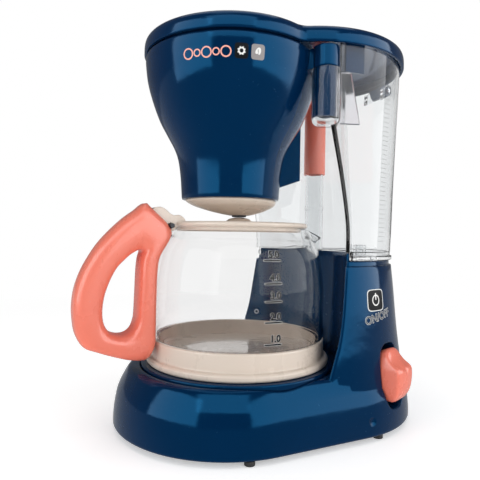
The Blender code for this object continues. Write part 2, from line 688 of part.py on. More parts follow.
def battery(name, side, wrap):
    y = side * (BATTERY_RADIUS + BATTERY_GAP / 2)
    z = FOOT_HEIGHT + FLOOR_PLATE_THICK + BATTERY_RADIUS + FIT
    ends = BATTERY_LENGTH / 2
    cell = rod(name, (BATTERY_X - ends, y, z), (BATTERY_X + ends, y, z), BATTERY_RADIUS, wrap)
    tip = (BATTERY_X + side * (ends + BATTERY_GAP), y, z)
    add(cell, rod(name + "_tip", (BATTERY_X, y, z), tip, BATTERY_RADIUS / 3, wrap, count=END_COUNT))
    return cell


def foot(name, x, y, rubber):
    profile = ((FOOT_RADIUS * FOOT_TIP_SHARE, 0.0), (FOOT_RADIUS, FOOT_HEIGHT / 3), (FOOT_RADIUS, FOOT_HEIGHT - FIT))
    return turned(name, x, y, profile, rubber, count=SMALL_COUNT)


# Rocker switch
def place_on_wall(thing, depth):
    """Turns and moves a thing built with +X outwards, +Y along the wall and +Z up it."""
    turn = Matrix.Rotation(ROCKER_TURN, 4, "Z") @ Matrix.Rotation(-ROCKER_LEAN, 4, "Y")
    wall = Vector((ROCKER_WALL_RADIUS, 0.0, 0.0))
    spot = Matrix.Rotation(ROCKER_TURN, 4, "Z") @ wall + Vector((TANK_X, 0.0, ROCKER_Z))
    thing.matrix_world = Matrix.Translation(spot) @ turn @ Matrix.Translation((-depth, 0.0, 0.0))


def oval_prism(name, width, height, material):
    """An upright oval with squared-off sides, run through the wall along X."""
    rings = []
    for x in (-SWITCH_FRONT - SWITCH_DEPTH / 2, ROCKER_REACH + OVERRUN):
        ring = []
        for i in range(OVAL_COUNT):
            turn = 2 * math.pi * i / OVAL_COUNT
            across, up = math.cos(turn), math.sin(turn)
            across = math.copysign(abs(across) ** OVAL_POWER, across) * width / 2
            up = math.copysign(abs(up) ** OVAL_POWER, up) * height / 2
            ring.append(Vector((x, across, up)))
        rings.append(ring)
    return loft(name, rings, material)


def rocker_button(coral):
    axis = ROCKER_AXIS_DEPTH
    outline = [(out * ROCKER_REACH + axis, up * ROCKER_HEIGHT) for out, up in ROCKER_OUTLINE_SHARES]
    button = prism("rocker_button", outline, ROCKER_WIDTH / 2, coral)
    oval = oval_prism("rocker_oval", ROCKER_WIDTH - FIT, ROCKER_HEIGHT - FIT, coral)
    keep(button, oval)
    edge = button.modifiers.new("edge", "BEVEL")
    edge.width = ROCKER_EDGE
    edge.segments = 2
    edge.limit_method = "ANGLE"
    edge.angle_limit = SHARP_ANGLE
    bore = rod("rocker_bore", (0.0, -ROCKER_WIDTH, 0.0), (0.0, ROCKER_WIDTH, 0.0), AXLE_BORE, coral, count=PIN_COUNT)
    cut(button, bore)
    place_on_wall(button, axis)
    place_on_wall(oval, axis)
    place_on_wall(bore, axis)
    return button


def rocker_axle(steel):
    half = ROCKER_WIDTH / 2 + SWITCH_ROOM + SWITCH_WALL
    axle = rod("rocker_axle", (0.0, -half, 0.0), (0.0, half, 0.0), AXLE_RADIUS, steel, count=PIN_COUNT)
    place_on_wall(axle, ROCKER_AXIS_DEPTH)
    return axle


# Pump
def pump_motor(steel):
    low = FOOT_HEIGHT + 2 * FLOOR_PLATE_THICK + FIT
    high = low + MOTOR_HEIGHT
    profile = (
        (MOTOR_RADIUS - MOTOR_EDGE, low), (MOTOR_RADIUS, low + MOTOR_EDGE),
        (MOTOR_RADIUS, high - MOTOR_EDGE), (MOTOR_RADIUS - MOTOR_EDGE, high),
        (SHAFT_RADIUS + FIT, high), (SHAFT_RADIUS + FIT, high - MOTOR_RADIUS / 2),
    )
    return turned("pump_motor", PUMP_X, 0.0, profile, steel, count=SMALL_COUNT), high


def pump_housing(dark, low):
    high = low + PUMP_HEIGHT
    inner = PUMP_RADIUS - PUMP_WALL
    hole = SHAFT_RADIUS + FIT
    bore = NOZZLE_RADIUS / 2
    top = high + NOZZLE_LENGTH
    profile = (
        (hole, low), (PUMP_RADIUS, low), (PUMP_RADIUS, high), (NOZZLE_RADIUS, high), (NOZZLE_RADIUS, top),
        (bore, top), (bore, high - PUMP_WALL), (inner, high - PUMP_WALL), (inner, low + PUMP_WALL),
        (hole, low + PUMP_WALL),
    )
    housing = turned("pump_housing", PUMP_X, 0.0, profile, dark, count=SMALL_COUNT, loop=True)
    z = (low + high) / 2
    out = PUMP_RADIUS + NOZZLE_LENGTH
    root = (PUMP_X, inner + PUMP_WALL / 2, z)
    add(housing, rod("outlet_nozzle", root, (PUMP_X, out, z), NOZZLE_RADIUS, dark, count=PIN_COUNT))
    within = (PUMP_X, inner / 2, z)
    cut(housing, rod("outlet_bore", within, (PUMP_X, out + OVERRUN, z), bore, dark, count=END_COUNT))
    return housing, Vector((PUMP_X, out, z)), Vector((PUMP_X, 0.0, top))


def pump_rotor(white, low):
    disc_low = low + PUMP_WALL + 2 * FIT
    disc_high = low + PUMP_HEIGHT - PUMP_WALL - 2 * FIT
    foot_z = low - MOTOR_RADIUS / 2 + 2 * FIT
    points = ROTOR_BLADES * 6
    middle = (ROTOR_TIP + ROTOR_ROOT) / 2
    swing = (ROTOR_TIP - ROTOR_ROOT) / 2

    def star(z):
        ring = []
        for i in range(points):
            turn = 2 * math.pi * i / points
            reach = middle + swing * math.cos(ROTOR_BLADES * turn)
            ring.append(Vector((reach * math.cos(turn), reach * math.sin(turn), z - disc_low)))
        return ring

    rotor = loft("pump_rotor", [star(disc_low), star(disc_high)], white)
    foot_end = (0.0, 0.0, foot_z - disc_low)
    shaft = rod("rotor_shaft", foot_end, (0.0, 0.0, PUMP_WALL), SHAFT_RADIUS, white, count=PIN_COUNT)
    add(rotor, shaft)
    for thing in (rotor, shaft):
        thing.location = (PUMP_X, 0.0, disc_low)
    return rotor


def hose(name, points, rubber):
    guide = bpy.data.curves.new(name, "CURVE")
    guide.dimensions = "3D"
    guide.bevel_depth = HOSE_RADIUS
    guide.bevel_resolution = 2
    guide.resolution_u = 6
    guide.use_fill_caps = True
    line = guide.splines.new("BEZIER")
    line.bezier_points.add(len(points) - 1)
    for spot, (place, before, after) in zip(line.bezier_points, points):
        spot.co = place
        spot.handle_left = before
        spot.handle_right = after
    made = bpy.data.objects.new(name, guide)
    guide.materials.append(rubber)
    bpy.context.collection.objects.link(made)
    return made


def hoses(rubber, outlet, inlet):
    ports_z = COLUMN_TOP - PORT_DROP - FIT
    bend = Vector((0.0, 0.0, PUMP_HEIGHT))
    side = Vector((0.0, NOZZLE_LENGTH, 0.0))
    start = outlet + Vector((0.0, FIT, 0.0))
    end = Vector((PORT_X, PORT_Y, ports_z))
    hose("outlet_hose", ((start, start - side, start + side), (end, end - bend, end + bend)), rubber)
    start = inlet + Vector((0.0, 0.0, FIT))
    end = Vector((PORT_X, -PORT_Y, ports_z))
    hose("inlet_hose", ((start, start - bend, start + bend / 2), (end, end - bend / 2, end + bend)), rubber)


# Tank
def tank_rings(inset, low, high):
    rings = []
    foot_z = COLUMN_TOP + FIT
    for level, ((height, widening), horn) in enumerate(zip(TANK_SHARES, HORN_SHARES)):
        z = foot_z + (TANK_TOP - foot_z) * height
        outer = TANK_FOOT_RADIUS + (TANK_RIM_RADIUS - TANK_FOOT_RADIUS) * widening
        horn_x = HORN_FOOT_X + (HORN_TOP_X - HORN_FOOT_X) * horn
        wall_x = BAY_WALL_FOOT_X + (BAY_WALL_TOP_X - BAY_WALL_FOOT_X) * height
        bay_x, bay_radius = bay_circle(outer, horn_x, wall_x)
        if level < REBATED_LEVELS:
            bay_x, bay_radius = CARAFE_X, BAY_RADIUS + LIP_THICK + FIT
        z = min(max(z, low), high)
        rings.append(crescent_ring(outer - inset, bay_x, bay_radius + inset, z, HORN_ROUND + inset))
    return rings


def socket(name, side, clear):
    bottom = SOCKET_TOP - SOCKET_DEPTH
    profile = [(SOCKET_RADIUS * r, bottom + SOCKET_DEPTH * z) for z, r in SOCKET_SHARES]
    return turned(name, SOCKET_X, side * SOCKET_Y, profile, clear, count=SMALL_COUNT)


def socket_bore(name, side, clear):
    bottom = SOCKET_TOP - SOCKET_DEPTH + 2 * SOCKET_WALL
    bore = SOCKET_RADIUS - SOCKET_WALL
    wide = SOCKET_RADIUS + FIT
    step = SOCKET_TOP - FIT / 2
    top = TANK_TOP + OVERRUN
    profile = ((bore - SOCKET_WALL, bottom), (bore, bottom + SOCKET_WALL), (bore, step), (wide, step), (wide, top))
    return turned(name, SOCKET_X, side * SOCKET_Y, profile, clear, count=SMALL_COUNT)


def socket_web(name, side, clear):
    """A thin pane from the socket that meets the tank's outer wall at its foot and narrows above."""
    root = SOCKET_RADIUS - SOCKET_WALL / 2
    low = SOCKET_TOP - SOCKET_DEPTH + SOCKET_WALL
    high = SOCKET_TOP - SOCKET_WALL
    outline = ((root, low), (WEB_LENGTH, low), (WEB_TOP_LENGTH, high), (root, high))
    pane = prism(name, outline, WEB_THICK / 2, clear)
    spot = Matrix.Translation((SOCKET_X, side * SOCKET_Y, 0.0))
    pane.matrix_world = spot @ Matrix.Rotation(side * WEB_TURN, 4, "Z")
    return pane


def bridge_ends():
    """The ends of the pipe that carries water from the riser over the bay wall into the head."""
    start = Vector((PORT_X, PORT_Y, BRIDGE_Z))
    aim = Vector((HEAD_X, 0.0, BRIDGE_Z)) - start
    return start, start + aim.normalized() * BRIDGE_REACH, aim.normalized()


def bridge_notch(name, half_width, top, material):
    """An upright U round the bridge pipe, open at the top."""
    start, end, aim = bridge_ends()
    side = Vector((-aim.y, aim.x, 0.0)) * half_width
    turns = [math.pi * (1 + i / (HINGE_COUNT - 1)) for i in range(HINGE_COUNT)]
    rings = []
    for place in (start, end):
        bowl = [place + side * math.cos(a) + Vector((0.0, 0.0, half_width * math.sin(a))) for a in turns]
        rise = Vector((0.0, 0.0, top - BRIDGE_Z))
        rings.append([place - side + rise] + bowl + [place + side + rise])
    return loft(name, rings, material)


def tank_shell(clear):
    foot_z = COLUMN_TOP + FIT
    outer = tank_rings(0.0, foot_z, TANK_TOP)
    inner = tank_rings(TANK_WALL, foot_z + TANK_FLOOR, TANK_TOP)
    shell = loft("tank_shell", outer + inner[::-1], clear)
    flange_radius = TANK_FOOT_RADIUS + TANK_FLANGE
    lip_radius = BAY_RADIUS + LIP_THICK + FIT
    heights = (foot_z, foot_z + TANK_FLANGE_HEIGHT)
    add(shell, loft("tank_flange", [crescent_ring(flange_radius, CARAFE_X, lip_radius, z) for z in heights], clear))
    for name, side in (("front", -1), ("rear", 1)):
        add(shell, socket(name + "_socket", side, clear))
        add(shell, socket_web(name + "_web", side, clear))
    for name, side in (("front", -1), ("rear", 1)):
        cut(shell, socket_bore(name + "_bore", side, clear))
    spigot_low = COLUMN_TOP - PORT_DROP
    within = foot_z + TANK_FLOOR / 2
    boss_top = foot_z + TANK_FLOOR + INLET_RISE
    add(shell, rod("inlet_boss", (PORT_X, -PORT_Y, within), (PORT_X, -PORT_Y, boss_top), INLET_RADIUS, clear))
    for name, y in (("inlet", -PORT_Y), ("outlet", PORT_Y)):
        add(shell, rod(name + "_spigot", (PORT_X, y, spigot_low), (PORT_X, y, within), PORT_RADIUS, clear))
        start = (PORT_X, y, spigot_low - OVERRUN)
        cut(shell, rod(name + "_way", start, (PORT_X, y, boss_top + OVERRUN), PORT_BORE, clear, count=PIN_COUNT))
    root_x = TANK_X + TANK_RIM_RADIUS - TANK_WALL / 2
    outline = hinge_outline(root_x, HINGE_Z - 2 * HINGE_RADIUS, HINGE_Z, EAR_START, EAR_END)
    for name, side in (("front_ear", -1), ("rear_ear", 1)):
        ear = prism(name, outline, EAR_THICK / 2, clear)
        ear.location.y = side * (EAR_HALF_GAP + EAR_THICK / 2)
        add(shell, ear)
    span = EAR_HALF_GAP + EAR_THICK + OVERRUN
    ends = ((HINGE_X, -span, HINGE_Z), (HINGE_X, span, HINGE_Z))
    cut(shell, rod("ear_bore", *ends, AXLE_BORE, clear, count=PIN_COUNT))
    cut(shell, bridge_notch("bridge_notch", BRIDGE_RADIUS + 2 * FIT, TANK_TOP + OVERRUN, clear))
    return shell


# Riser
def riser_tube(clear):
    low = COLUMN_TOP + TANK_FLOOR + 2 * FIT
    inner = TUBE_RADIUS - TUBE_WALL
    profile = ((TUBE_RADIUS, low), (TUBE_RADIUS, TUBE_TOP), (inner, TUBE_TOP), (inner, low))
    return turned("riser_tube", PORT_X, PORT_Y, profile, clear, count=SMALL_COUNT, loop=True)


def riser_sleeve(coral):
    bore = TUBE_RADIUS + FIT
    outer = bore + SLEEVE_WALL
    profile = (
        (bore, SLEEVE_BOTTOM), (outer, SLEEVE_BOTTOM), (outer, SLEEVE_TOP - SLEEVE_WALL),
        (outer - SLEEVE_WALL, SLEEVE_TOP),
    )
    sleeve = turned("riser_sleeve", PORT_X, PORT_Y, profile, coral, count=SMALL_COUNT)
    start, end, aim = bridge_ends()
    add(sleeve, rod("bridge_pipe", start, end, BRIDGE_RADIUS, coral))
    room = ((bore, SLEEVE_BOTTOM - OVERRUN), (bore, SLEEVE_TOP - 2 * SLEEVE_WALL))
    cut(sleeve, turned("sleeve_room", PORT_X, PORT_Y, room, coral, count=SMALL_COUNT))
    cut(sleeve, rod("bridge_way", start, end + aim * OVERRUN, BRIDGE_BORE, coral, count=PIN_COUNT))
    return sleeve


# Head
def head_shell(navy):
    height = HEAD_RIM - HEAD_BOTTOM
    wall = [(HEAD_RADIUS * r, HEAD_BOTTOM + height * z) for z, r in HEAD_SHARES]
    neck = HEAD_RADIUS - NECK_INSET
    outside = wall + [(neck, HEAD_RIM), (neck, NECK_TOP)]
    shell = turned("head_shell", HEAD_X, 0.0, outside, navy)
    back = HEAD_X + CHANNEL_REACH
    throat_x = HEAD_X + HEAD_RADIUS * HEAD_SHARES[0][1]
    channel = (
        (HEAD_X, CHANNEL_LOW), (throat_x, CHANNEL_LOW), (back, CHANNEL_BACK_LOW), (back, CHANNEL_HIGH),
        (HEAD_X, CHANNEL_HIGH),
    )
    add(shell, prism("head_channel", channel, CHANNEL_HALF_WIDTH, navy))
    for name, side in (("front_peg", -1), ("rear_peg", 1)):
        y = side * SOCKET_Y
        tip = SOCKET_TOP - PEG_DEPTH
        shoulder = SOCKET_TOP + FIT
        profile = (
            (PEG_TIP_RADIUS - SOCKET_WALL, tip), (PEG_TIP_RADIUS, tip + SOCKET_WALL), (PEG_TIP_RADIUS, shoulder),
            (PEG_RADIUS, shoulder), (PEG_RADIUS, PEG_TOP),
        )
        add(shell, turned(name, SOCKET_X, y, profile, navy, count=SMALL_COUNT))
        inward = Vector((HEAD_X - SOCKET_X, -y, 0.0))
        reach = inward.length - neck + HEAD_WALL / 2
        half = PEG_RADIUS * PEG_WEB_SHARE
        web = box(name + "_web", (0.0, -half, shoulder), (reach, half, HEAD_RIM - FIT), navy)
        turn = Matrix.Rotation(math.atan2(inward.y, inward.x), 4, "Z")
        web.matrix_world = Matrix.Translation((SOCKET_X, y, 0.0)) @ turn
        add(shell, web)
    inside = [(r - HEAD_WALL, z) for r, z in wall[:-1:2]]
    inside[0] = (inside[0][0], HEAD_BOTTOM - OVERRUN)
    inside += [(neck - HEAD_WALL, HEAD_RIM - HEAD_WALL), (neck - HEAD_WALL, NECK_TOP + OVERRUN)]
    cut(shell, turned("head_room", HEAD_X, 0.0, inside, navy))
    start, end, aim = bridge_ends()
    cut(shell, rod("head_water_hole", start, end + aim * OVERRUN, BRIDGE_RADIUS + 2 * FIT, navy))
    return shell


def funnel_rings():
    """Rings from the rim down to the tip, whose middle moves over to the carafe's axis."""
    rim_z = HEAD_BOTTOM - FIT
    rings = []
    for drop, radius in FUNNEL_SHARES:
        x = HEAD_X + (CARAFE_X - HEAD_X) * drop
        z = rim_z + (FUNNEL_TIP_Z - rim_z) * drop
        rings.append(circle_ring(x, 0.0, FUNNEL_RADIUS * radius, z))
    return rings


def drip_funnel(cream):
    spigot_top = HEAD_BOTTOM + SPIGOT_HEIGHT
    spigot = HEAD_RADIUS * HEAD_SHARES[0][1] - HEAD_WALL - FIT
    well = VALVE_RADIUS + VALVE_BORE_GAP
    roof = FUNNEL_TIP_Z + VALVE_PAD + VALVE_TRAVEL
    outside = funnel_rings()
    tip = circle_ring(CARAFE_X, 0.0, FUNNEL_TIP_RADIUS, FUNNEL_TIP_Z)
    rim = [circle_ring(HEAD_X, 0.0, spigot, HEAD_BOTTOM - FIT), circle_ring(HEAD_X, 0.0, spigot, spigot_top)]
    hole = STEM_RADIUS + STEM_GAP
    floor_z = roof + FUNNEL_WALL
    inner_rim = [circle_ring(HEAD_X, 0.0, spigot - FUNNEL_WALL, z) for z in (spigot_top, HEAD_BOTTOM)]
    inner = [circle_ring(CARAFE_X, 0.0, well + FUNNEL_WALL, floor_z), circle_ring(CARAFE_X, 0.0, hole, floor_z)]
    bore = [circle_ring(CARAFE_X, 0.0, hole, roof), circle_ring(CARAFE_X, 0.0, well, roof)]
    mouth = [circle_ring(CARAFE_X, 0.0, well, FUNNEL_TIP_Z), tip]
    return loft("drip_funnel", outside[::-1] + rim + inner_rim + inner + bore + mouth, cream, loop=True)


def drip_valve(dark):
    low = JUG_TOP + LID_THICK + KNOB_RISE + 2 * FIT
    pad = FUNNEL_TIP_Z + VALVE_PAD - FIT
    cap_low = FUNNEL_TIP_Z + VALVE_PAD + VALVE_TRAVEL + FUNNEL_WALL + FIT
    cap_high = cap_low + VALVE_PAD
    profile = (
        (VALVE_RADIUS - VALVE_EDGE, low), (VALVE_RADIUS, low + VALVE_EDGE / 2), (VALVE_RADIUS, pad), (STEM_RADIUS, pad),
        (STEM_RADIUS, cap_low), (VALVE_CAP_RADIUS, cap_low), (VALVE_CAP_RADIUS, cap_high),
    )
    return turned("drip_valve", CARAFE_X, 0.0, profile, dark, count=SMALL_COUNT)


# Cover
def top_cover(navy):
    """The cover as a capped outer skin with its underside hollowed."""
    height = COVER_TOP - COVER_BOTTOM
    skin = [cover_ring(COVER_ROUND * inset, COVER_BOTTOM + height * share) for share, inset in COVER_SHARES]
    skin.append(cover_ring(COVER_CROWN_INSET, COVER_TOP + COVER_CROWN))
    under = COVER_TOP - COVER_PLATE
    hollow = [cover_ring(COVER_WALL, z) for z in (COVER_BOTTOM, under - COVER_WALL)]
    hollow.append(cover_ring(COVER_ROUND, under))
    cover = loft("top_cover", hollow[::-1] + skin, navy)
    ledge_z = COVER_TOP - LEDGE_DROP
    ledge_low = (HEAD_X - COVER_HEAD_RADIUS - OVERRUN, -LEDGE_HALF_WIDTH, ledge_z)
    ledge_high = (LEDGE_X, LEDGE_HALF_WIDTH, COVER_TOP + OVERRUN)
    cut(cover, box("thumb_ledge", ledge_low, ledge_high, navy))
    for name, side in (("front_tab", -1), ("rear_tab", 1)):
        rings = []
        for z in (COVER_BOTTOM - TAB_DROP, under + COVER_PLATE / 2):
            outer = arc(TANK_X, 0.0, TAB_RADIUS, side * TAB_START, side * TAB_END, z, 6)
            inner = arc(TANK_X, 0.0, TAB_RADIUS - TAB_THICK, side * TAB_END, side * TAB_START, z, 6)
            rings.append(outer + inner)
        add(cover, loft(name, rings, navy))
    rim_x = TANK_X + COVER_TANK_RADIUS - COVER_WALL / 2
    arm_high = COVER_BOTTOM + height / 3
    outline = hinge_outline(rim_x, COVER_BOTTOM + FIT, arm_high, KNUCKLE_START, KNUCKLE_END)
    add(cover, prism("knuckle", outline, KNUCKLE_HALF, navy))
    span = KNUCKLE_HALF + OVERRUN
    ends = ((HINGE_X, -span, HINGE_Z), (HINGE_X, span, HINGE_Z))
    cut(cover, rod("knuckle_bore", *ends, AXLE_BORE, navy, count=PIN_COUNT))
    return cover


def hinge_pin(steel):
    half = EAR_HALF_GAP + EAR_THICK + FIT
    ends = ((HINGE_X, -half, HINGE_Z), (HINGE_X, half, HINGE_Z))
    return rod("hinge_pin", *ends, AXLE_RADIUS, steel, count=PIN_COUNT)


# Carafe
def carafe_cup(cream):
    inner = CUP_RADIUS - CUP_WALL
    edge = FLANGE_HEIGHT / 3
    low = CARAFE_FLOOR
    profile = (
        (FLANGE_RADIUS - edge, low), (FLANGE_RADIUS, low + edge), (FLANGE_RADIUS, low + 2 * edge),
        (FLANGE_RADIUS - edge, low + FLANGE_HEIGHT), (CUP_RADIUS + FIT, low + FLANGE_HEIGHT),
        (CUP_RADIUS, low + CUP_HEIGHT - FIT), (CUP_RADIUS - 2 * FIT, low + CUP_HEIGHT),
        (inner, low + CUP_HEIGHT), (inner, low + CUP_FLOOR),
    )
    return turned("carafe_cup", CARAFE_X, 0.0, profile, cream)


def jug_ring(radius, z, spout):
    ring = []
    for i in range(ROUND_COUNT):
        turn = 2 * math.pi * i / ROUND_COUNT
        off = (turn + math.pi) % (2 * math.pi) - math.pi
        share = spout * math.exp(-((off / SPOUT_HALF_ANGLE) ** 2))
        reach = radius + SPOUT_PUSH * share
        ring.append(Vector((CARAFE_X + reach * math.cos(turn), reach * math.sin(turn), z - SPOUT_DROP * share)))
    return ring


def carafe_jug(clear):
    seat = CUP_RADIUS - CUP_WALL - FIT
    floor_z = CARAFE_FLOOR + CUP_FLOOR + FIT
    body_z = CARAFE_FLOOR + CUP_HEIGHT + FIT
    seat_levels = ((seat - JUG_WALL, floor_z), (seat, floor_z + JUG_WALL), (seat, body_z))
    low = [jug_ring(r, z, 0.0) for r, z in seat_levels]
    levels = [(JUG_RADIUS * r, body_z + (JUG_TOP - body_z) * z, spout) for z, r, spout in JUG_SHARES]
    outer = [jug_ring(r, z, spout) for r, z, spout in levels]
    inner = [jug_ring(r - JUG_WALL, z, spout) for r, z, spout in levels[2::2]][::-1]
    inside = seat - JUG_WALL
    floor_levels = ((inside, body_z), (inside, floor_z + 2 * JUG_WALL), (inside - JUG_WALL, floor_z + JUG_WALL))
    floor = [jug_ring(r, z, 0.0) for r, z in floor_levels]
    return loft("carafe_jug", low + outer + inner + floor, clear)


def side_point(length_share, height_share):
    return HANDLE_REACH + HANDLE_LENGTH * length_share, HANDLE_LOW + HANDLE_HEIGHT * height_share


def carafe_handle(coral):
    """A closed grip swept round its hole, each station an oval between its inner and outer points."""
    rings = []
    for outer, inner in HANDLE_SHARES:
        out_x, out_z = side_point(*outer)
        in_x, in_z = side_point(*inner)
        middle = Vector(((out_x + in_x) / 2, 0.0, (out_z + in_z) / 2))
        half = Vector(((out_x - in_x) / 2, 0.0, (out_z - in_z) / 2))
        ring = []
        for i in range(PIN_COUNT):
            turn = 2 * math.pi * i / PIN_COUNT
            across, out = math.sin(turn), math.cos(turn)
            across = math.copysign(abs(across) ** HANDLE_POWER, across)
            out = math.copysign(abs(out) ** HANDLE_POWER, out)
            ring.append(middle + half * out + Vector((0.0, HANDLE_HALF_WIDTH * across, 0.0)))
        rings.append(ring)
    handle = loft("carafe_handle", rings, coral, loop=True)
    outline = [(PIVOT_X + LEVER_SIZE * x, PIVOT_Z + LEVER_SIZE * z) for x, z in SLOT_SHARES]
    cut(handle, prism("lever_slot", outline, LEVER_HALF_WIDTH + LEVER_SLOT_GAP, coral))
    ends = ((PIVOT_X, -2 * PIVOT_HALF, PIVOT_Z), (PIVOT_X, 2 * PIVOT_HALF, PIVOT_Z))
    cut(handle, rod("pivot_hole", *ends, AXLE_BORE, coral, count=PIN_COUNT))
    return handle


def pivot_ends():
    return (PIVOT_X, -PIVOT_HALF, PIVOT_Z), (PIVOT_X, PIVOT_HALF, PIVOT_Z)


def carafe_lid(cream):
    low = JUG_TOP + FIT
    top = low + LID_THICK
    edge = LID_THICK / 3
    skirt_low = low - LID_SKIRT_DROP
    skirt = LID_SKIRT_RADIUS - LID_SKIRT_WALL
    profile = (
        (skirt, low), (skirt, skirt_low), (LID_SKIRT_RADIUS, skirt_low), (LID_SKIRT_RADIUS, low),
        (LID_RADIUS - edge, low), (LID_RADIUS, low + edge), (LID_RADIUS, top - edge), (LID_RADIUS - edge, top),
    )
    knob = tuple((KNOB_RADIUS * radius, top + KNOB_RISE * rise) for radius, rise in KNOB_SHARES)
    lid = turned("carafe_lid", CARAFE_X, 0.0, profile + knob, cream)
    outline = [(PIVOT_X + LEVER_SIZE * x, PIVOT_Z + LEVER_SIZE * z) for x, z in LEVER_SHARES]
    add(lid, prism("thumb_lever", outline, LEVER_HALF_WIDTH, cream, LEVER_EDGE))
    cut(lid, rod("lever_bore", *pivot_ends(), AXLE_BORE, cream, count=PIN_COUNT))
    return lid


def lid_pin(steel):
    return rod("lid_pin", *pivot_ends(), AXLE_RADIUS, steel, count=PIN_COUNT)


def switch_frame(dark):
    half_y = ROCKER_WIDTH / 2 + SWITCH_ROOM
    half_z = ROCKER_HEIGHT / 2 + SLOT_END_GAP
    back = -SWITCH_FRONT - SWITCH_DEPTH
    wall = SWITCH_WALL
    low = (back, -half_y - wall, -half_z - wall)
    high = (-SWITCH_FRONT, half_y + wall, half_z + wall)
    frame = box("switch_frame", low, high, dark)
    room = box("switch_room", (back + wall, -half_y, -half_z), (OVERRUN, half_y, half_z), dark)
    span = half_y + wall + OVERRUN
    axis = -ROCKER_AXIS_DEPTH
    bore = rod("switch_bore", (axis, -span, 0.0), (axis, span, 0.0), AXLE_BORE, dark, count=PIN_COUNT)
    for thing in (room, bore):
        cut(frame, thing)
    for thing in (frame, room, bore):
        place_on_wall(thing, 0.0)
    return frame


def main():
    for thing in list(bpy.data.objects):
        bpy.data.objects.remove(thing, do_unlink=True)
    navy = plastic("navy_gloss", (0.008, 0.055, 0.16), 0.16, 0.6)
    coral = plastic("coral_gloss", (0.93, 0.2, 0.14), 0.28, 0.2)
    cream = plastic("cream_gloss", (0.82, 0.68, 0.56), 0.34, 0.1)
    clear = clear_plastic("clear_plastic", (0.95, 0.97, 0.98))
    dark = plastic("dark_matte", (0.02, 0.03, 0.05), 0.55)
    rubber = plastic("black_rubber", (0.015, 0.015, 0.018), 0.7)
    hose_rubber = plastic("hose_silicone", (0.75, 0.76, 0.76), 0.5)
    steel = metal("steel", (0.6, 0.61, 0.63), 0.3)
    wrap = plastic("battery_wrap", (0.05, 0.06, 0.07), 0.35)

    base_shell(navy)
    column_screw(steel)
    warming_plate(navy)
    bottom_plate(dark)
    battery_door(dark)
    battery_box(dark)
    battery("battery_front", -1, wrap)
    battery("battery_rear", 1, wrap)
    for name, x, y in (
        ("foot_front_near", FOOT_NEAR_X, -FOOT_Y), ("foot_front_far", FOOT_FAR_X, -FOOT_Y),
        ("foot_rear_near", FOOT_NEAR_X, FOOT_Y), ("foot_rear_far", FOOT_FAR_X, FOOT_Y),
    ):
        foot(name, x, y, rubber)
    switch_frame(dark)
    rocker_button(coral)
    rocker_axle(steel)
    _, motor_top = pump_motor(steel)
    pump_low = motor_top + FIT
    _, outlet, inlet = pump_housing(dark, pump_low)
    pump_rotor(cream, pump_low)
    hoses(hose_rubber, outlet, inlet)
    tank_shell(clear)
    riser_tube(clear)
    riser_sleeve(coral)
    head_shell(navy)
    drip_funnel(cream)
    drip_valve(dark)
    top_cover(navy)
    hinge_pin(steel)
    carafe_cup(cream)
    carafe_jug(clear)
    carafe_handle(coral)
    carafe_lid(cream)
    lid_pin(steel)


main()
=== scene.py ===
import math

import bmesh
import bpy
import numpy as np
from mathutils import Matrix, Vector


